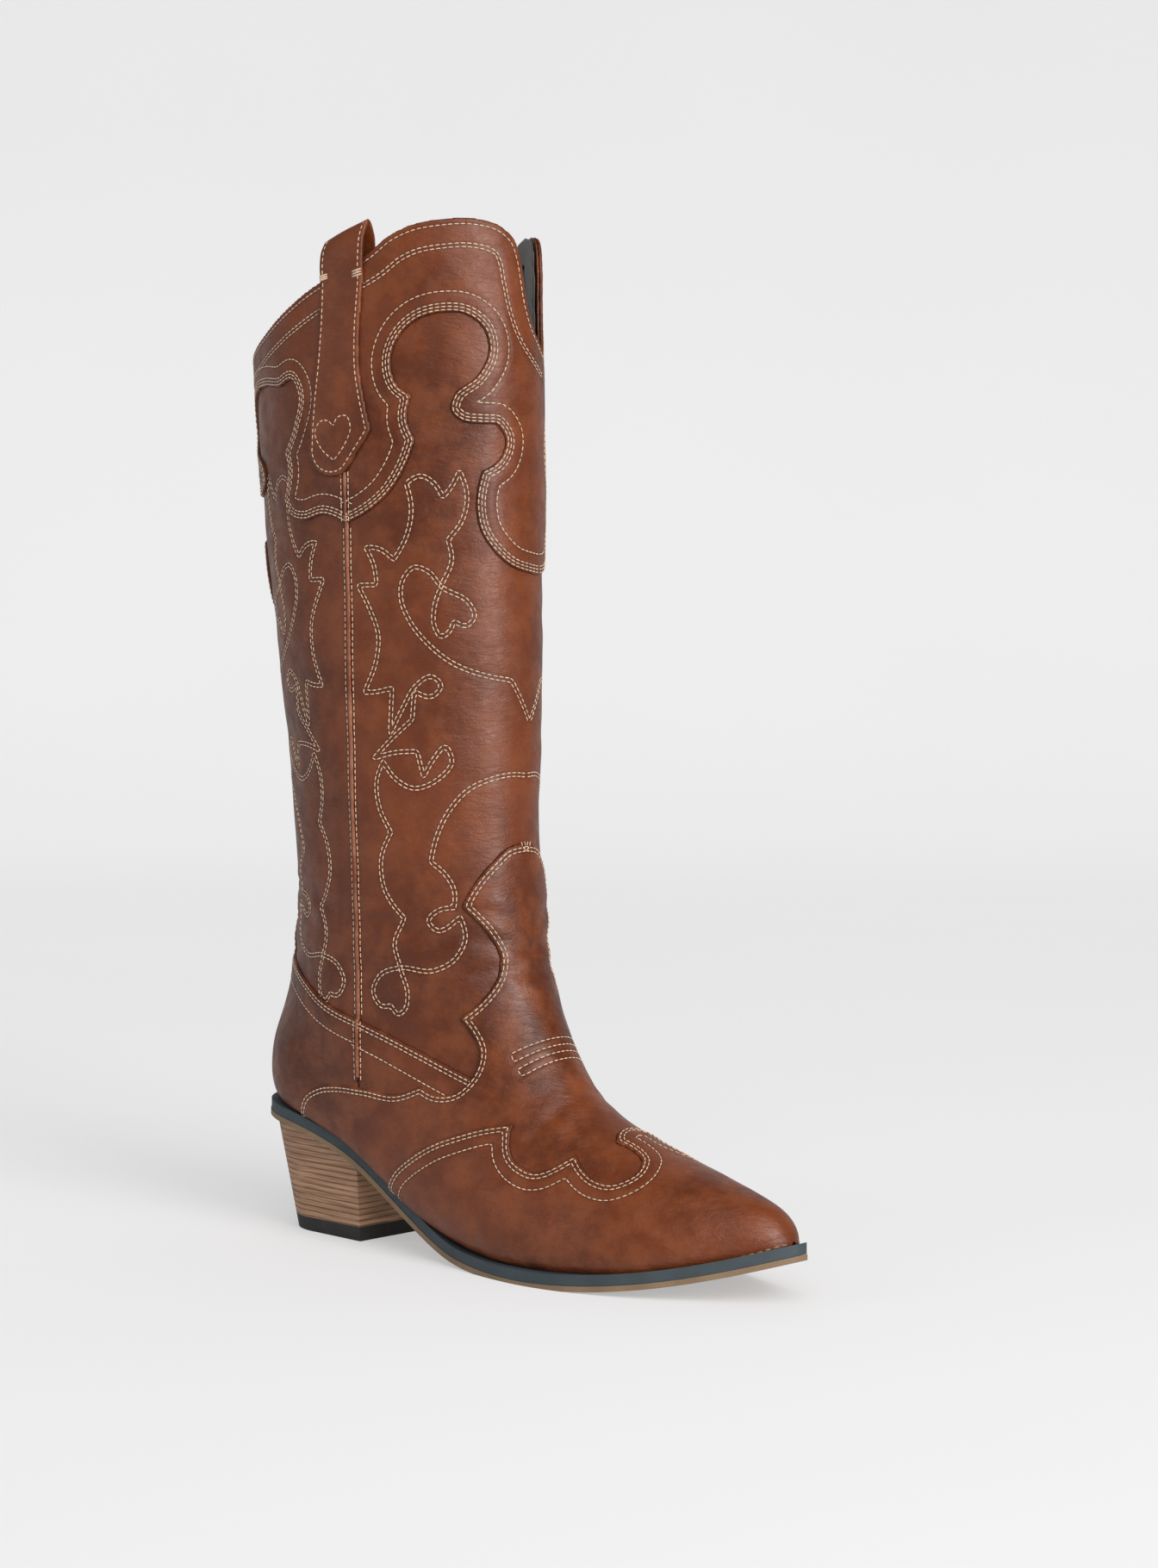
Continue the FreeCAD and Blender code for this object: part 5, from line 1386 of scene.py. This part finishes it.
def strap_sheet(side):
    """Middle of the strap: up the outside, over as a loop and down the inside."""
    columns = np.linspace(17.0, 55.0, 39)
    middle_column = len(columns) // 2
    heights = np.arange(315.0, STRAP_LEAVES_Z + 0.1, 1.2)
    middle = (STRAP[0] + STRAP[1]) / 2.0
    strips = []
    for x in columns:
        leg = on_side([(x, z) for z in heights], side)
        leg = leg + normals_of(leg) * middle
        outer = abs(leg[-1, 1])
        inner = outer - middle + FACING[0] - STRAP_OFF_FACING
        loop = interpolate([(outer, heights[-1]), (outer + 0.5, 409.0), (outer - 0.6, 418.0),
                            ((outer + inner) / 2.0, STRAP_LOOP_Z), (inner + 0.6, 418.0), (inner, 409.0),
                            (inner, 396.0), (inner, STRAP_INSIDE_Z)], LOOP_STEPS)
        back = progress(x, STRAP_FRONT_X, STRAP_BACK_X)
        free = np.clip((loop[:, 1] - STRAP_LEAVES_Z) / (STRAP_LOOP_Z - STRAP_LEAVES_Z), 0.0, 1.0)
        loop[:, 1] -= STRAP_SLANT * back * free
        loop = np.stack([np.full(LOOP_STEPS, leg[-1, 0]), side * loop[:, 0], loop[:, 1]], -1)
        strips.append(np.concatenate([leg, loop[1:]]))
    place = np.stack(strips, axis=1)
    if side == LATERAL:
        place = place[:, ::-1]
        columns = columns[::-1]
    run = np.concatenate([[0.0], np.cumsum(np.linalg.norm(np.diff(place[:, middle_column], axis=0), axis=1))])
    return Sheet(columns, heights[0] + run, place)


def strap_row(sheet, flat, proud):
    """Thread points on the strap's outer face."""
    place, normal = sheet.at(flat)
    half = (STRAP[1] - STRAP[0]) / 2.0
    return place + normal * (unevenness(place) + half + proud)[:, None], normal


def strap_tacks(sheet):
    """Bar tacks at both edges, each of a few slanting stitches side by side."""
    rows = []
    for x in TACK_X:
        for q in TACK_ROWS:
            flat = np.stack([np.linspace(x, x + TACK_LENGTH, 8), np.linspace(q, q + 0.8, 8)], -1)
            rows.append(strap_row(sheet, flat, 0.1))
    return rows


def make_straps():
    """Pull straps, each with sewing along its edge, a heart at the foot and bar tacks."""
    outline = joined(STRAP_OUTLINE, 0.4)
    shape = np.concatenate([outline, [(STRAP_FRONT_X, STRAP_PAST_END), (STRAP_BACK_X, STRAP_PAST_END)]])
    drawing = split_jumps(inset(outline, STRAP_ROW_INSET), 4.0) + [joined(STRAP_HEART, 0.4)]
    half = (STRAP[1] - STRAP[0]) / 2.0
    for name, side in (("lateral", LATERAL), ("medial", MEDIAL)):
        sheet = strap_sheet(side)
        x, q = [part.ravel() for part in np.meshgrid(sheet.columns, sheet.rows)]
        away = np.sqrt(((x[:, None] - outline[:, 0]) ** 2 + (q[:, None] - outline[:, 1]) ** 2).min(1))
        field = np.where(inside_polygon(x, q, shape), away, -away)
        field = np.minimum(field, sheet.rows[-1] - 0.5 - q)
        piece = panel("skin_pull_strap_" + name, sheet, field, (-half, half), rounding=0.8)
        finish_piece(piece, LEATHER, "leather_strap", "pull_strap_" + name)
        sewing = [strap_row(sheet, flat[flat[:, 1] < sheet.rows[-1] - 2.0], THREAD_PROUD) for flat in drawing]
        finish_piece(stitches("stitches_strap_" + name, sewing), THREAD, "leather_strap")
        tacks = stitches("bar_tacks_" + name, strap_tacks(sheet), *TACK_THREAD)
        finish_piece(tacks, THREAD, "leather_strap")


def inset(outline, distance):
    """A flat line this far inside another that runs anticlockwise."""
    tangent = unit(np.gradient(outline, axis=0))
    moved = outline + np.stack([-tangent[:, 1], tangent[:, 0]], -1) * distance
    away = np.sqrt(((moved[:, None] - outline[None]) ** 2).sum(2).min(1))
    return moved[away > KEPT_SHARE * distance]


def feather_line():
    """Points round the foot just above the rand, from the waist on one side to the other."""
    above = 1.2
    u = np.linspace(7.0, U_END - 0.3, 900)
    angles = np.concatenate([np.linspace(1.0, 2.9, 200), np.linspace(3.4, 5.3, 200)])
    grid = skin_grid(u, angles)
    height = grid[..., 2] - sole_z(grid[..., 0])
    found = []
    for j in range(len(angles)):
        below = np.nonzero((height[1:, j] < above) & (height[:-1, j] >= above))[0]
        found += [grid[k, j] for k in below]
    found = np.array(found)
    halves = []
    for side in (LATERAL, MEDIAL):
        half = found[found[:, 1] * side > 0]
        halves.append(half[np.argsort(half[:, 0])])
    return [half[half[:, 0] > WELT_SEWN_FROM_X] for half in halves]


def make_welt_stitches():
    """Thread along the foot of the upper, from the waist to the toe."""
    rows = []
    for half in feather_line():
        line = resampled(half, 0.8)
        normals = normals_of(line)
        rows.append((line + normals * (unevenness(line) + TOE_OVERLAY[1] + 0.1)[:, None], normals))
    finish_piece(stitches("stitches_welt", rows, *WELT_THREAD_SIZE), WELT_THREAD, "welt")


def make_threads():
    """One piece of sewing for each group of rows, on the leather that it lies on."""
    heights = {"motif_lateral": BASE[1], "motif_medial": BASE[1], "seams": BASE[1], "collar": OVERLAY[1],
               "top": OVERLAY[1], "vamp": VAMP[1], "toe": TOE_OVERLAY[1], "counter": FOOT_OVERLAY[1]}
    for name, rows in ROWS.items():
        piece = stitches("stitches_" + name, [sewn(row, heights[name] + THREAD_PROUD) for row in rows])
        finish_piece(piece, THREAD, "leather_strap")


def colour_cad_pieces():
    """Materials of the pieces that are shown as the CAD made them."""
    for node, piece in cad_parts.items():
        material = HEEL if node.startswith("heel_lift") else CAD_MATERIALS.get(SAME_AS.get(node, node))
        if material is not None:
            for place in piece.material_slots:
                place.material = material


make_shaft()
make_collar()
make_foot()
make_quarter()
make_inside()
make_beads()
make_straps()
make_threads()
make_welt_stitches()
colour_cad_pieces()


# ---------------------------------------------------------------- studio
VIEW_DIRECTION = np.array([-0.673, 0.740])       # level, across the outer front of the boot
FLOOR_NEAR, FLOOR_FAR = -2.6, 2.4                # from the boot along the view, in metres
FLOOR_HALF_WIDTH = 6.0
CURVE_RADIUS = 1.2
BACKDROP_HEIGHT = 4.5
FLOOR_DROP = 0.05                                # the floor lies this much under the heel, in millimetres
GLOW = 0.40                                      # the stage's own light, and how much of it is reflected
GLOW_REFLECTED = 0.2


def make_stage():
    """Pale floor that curves up into a backdrop."""
    profile = [(FLOOR_NEAR, 0.0), (FLOOR_FAR, 0.0)]
    for turn in np.linspace(0.1, math.pi / 2.0, 14):
        rise = CURVE_RADIUS * (1.0 - math.cos(turn))
        profile.append((FLOOR_FAR + CURVE_RADIUS * math.sin(turn), rise))
    profile.append((FLOOR_FAR + CURVE_RADIUS, BACKDROP_HEIGHT))
    away = unit(VIEW_DIRECTION)
    across = np.array([away[1], -away[0]])
    points = []
    for distance, height in profile:
        for width in (-FLOOR_HALF_WIDTH, FLOOR_HALF_WIDTH):
            spot = away * distance + across * width
            points.append((spot[0] / MM, spot[1] / MM, height / MM - FLOOR_DROP))
    faces = [[2 * i, 2 * i + 1, 2 * i + 3, 2 * i + 2] for i in range(len(profile) - 1)]
    floor = new_mesh("stage_floor", points, faces)
    n = Nodes("pale_floor")
    tone = n.mix(n.noise(2.0, 2.0), (0.42, 0.42, 0.42), (0.44, 0.44, 0.44))
    reflected = n.add("ShaderNodeLightPath").outputs["Is Glossy Ray"]
    glow = n.mix(reflected, (1.0, 1.0, 1.0), (GLOW_REFLECTED, GLOW_REFLECTED, GLOW_REFLECTED))
    n.set(Base_Color=tone, Roughness=0.9, Normal=n.bump(n.noise(300.0, 3.0), 0.03), Specular_IOR_Level=0.0,
          Emission_Color=glow, Emission_Strength=GLOW)
    floor.data.materials.append(n.material)


def lamp(name, data, direction, place=(0.0, 0.0, 0.0)):
    """Put a light in the scene, shining along a direction."""
    light = bpy.data.objects.new(name, data)
    light.location = place
    light.rotation_euler = direction.to_track_quat("-Z", "Y").to_euler()
    bpy.context.scene.collection.objects.link(light)


def softbox(name, place, size, power, colour):
    """Rectangular light aimed at the middle of the boot."""
    data = bpy.data.lights.new(name, "AREA")
    data.shape = "RECTANGLE"
    data.size, data.size_y = size
    data.energy = power
    data.color = colour
    lamp(name, data, Vector(BOOT_MIDDLE) - Vector(place), place)


BOOT_MIDDLE = (0.08, 0.0, 0.2)
SUN_DIRECTION = (-0.62, 0.36, -0.70)
SUN_ANGLE = math.radians(55.0)
WORLD_STRENGTH = 0.42
WORLD_REFLECTED = 0.06       # strength seen in reflections, so that the leather keeps its colour


def make_lights():
    """Two softboxes, a very soft sun and an even sky."""
    softbox("right_softbox", (1.9, -0.45, 0.75), (0.7, 1.5), 27.0, (1.0, 0.94, 0.91))
    softbox("left_softbox", (-1.1, -1.7, 0.9), (0.8, 1.4), 3.5, (0.97, 0.98, 1.0))
    data = bpy.data.lights.new("soft_key", "SUN")
    data.energy = 1.5
    data.angle = SUN_ANGLE
    lamp("soft_key", data, Vector(SUN_DIRECTION))
    world = bpy.data.worlds.new("studio")
    world.use_nodes = True
    nodes = world.node_tree.nodes
    links = world.node_tree.links
    nodes["Background"].inputs["Color"].default_value = (0.96, 0.97, 1.0, 1.0)
    path = nodes.new("ShaderNodeLightPath")
    strength = nodes.new("ShaderNodeMapRange")
    strength.inputs["To Min"].default_value = WORLD_STRENGTH
    strength.inputs["To Max"].default_value = WORLD_REFLECTED
    links.new(path.outputs["Is Glossy Ray"], strength.inputs["Value"])
    links.new(strength.outputs["Result"], nodes["Background"].inputs["Strength"])
    bpy.context.scene.world = world


def make_camera():
    """Level camera at the height of the middle of the boot, looking across its outer front."""
    data = bpy.data.cameras.new("camera")
    data.lens = 66.7
    data.sensor_width = 36.0
    data.shift_y = -0.0505
    camera = bpy.data.objects.new("camera", data)
    camera.location = (0.9114, -0.8634, 0.225)
    camera.rotation_euler = Vector((*VIEW_DIRECTION, 0.0)).to_track_quat("-Z", "Y").to_euler()
    bpy.context.scene.collection.objects.link(camera)
    bpy.context.scene.camera = camera


make_stage()
make_lights()
make_camera()
bpy.context.scene.view_settings.view_transform = "Standard"
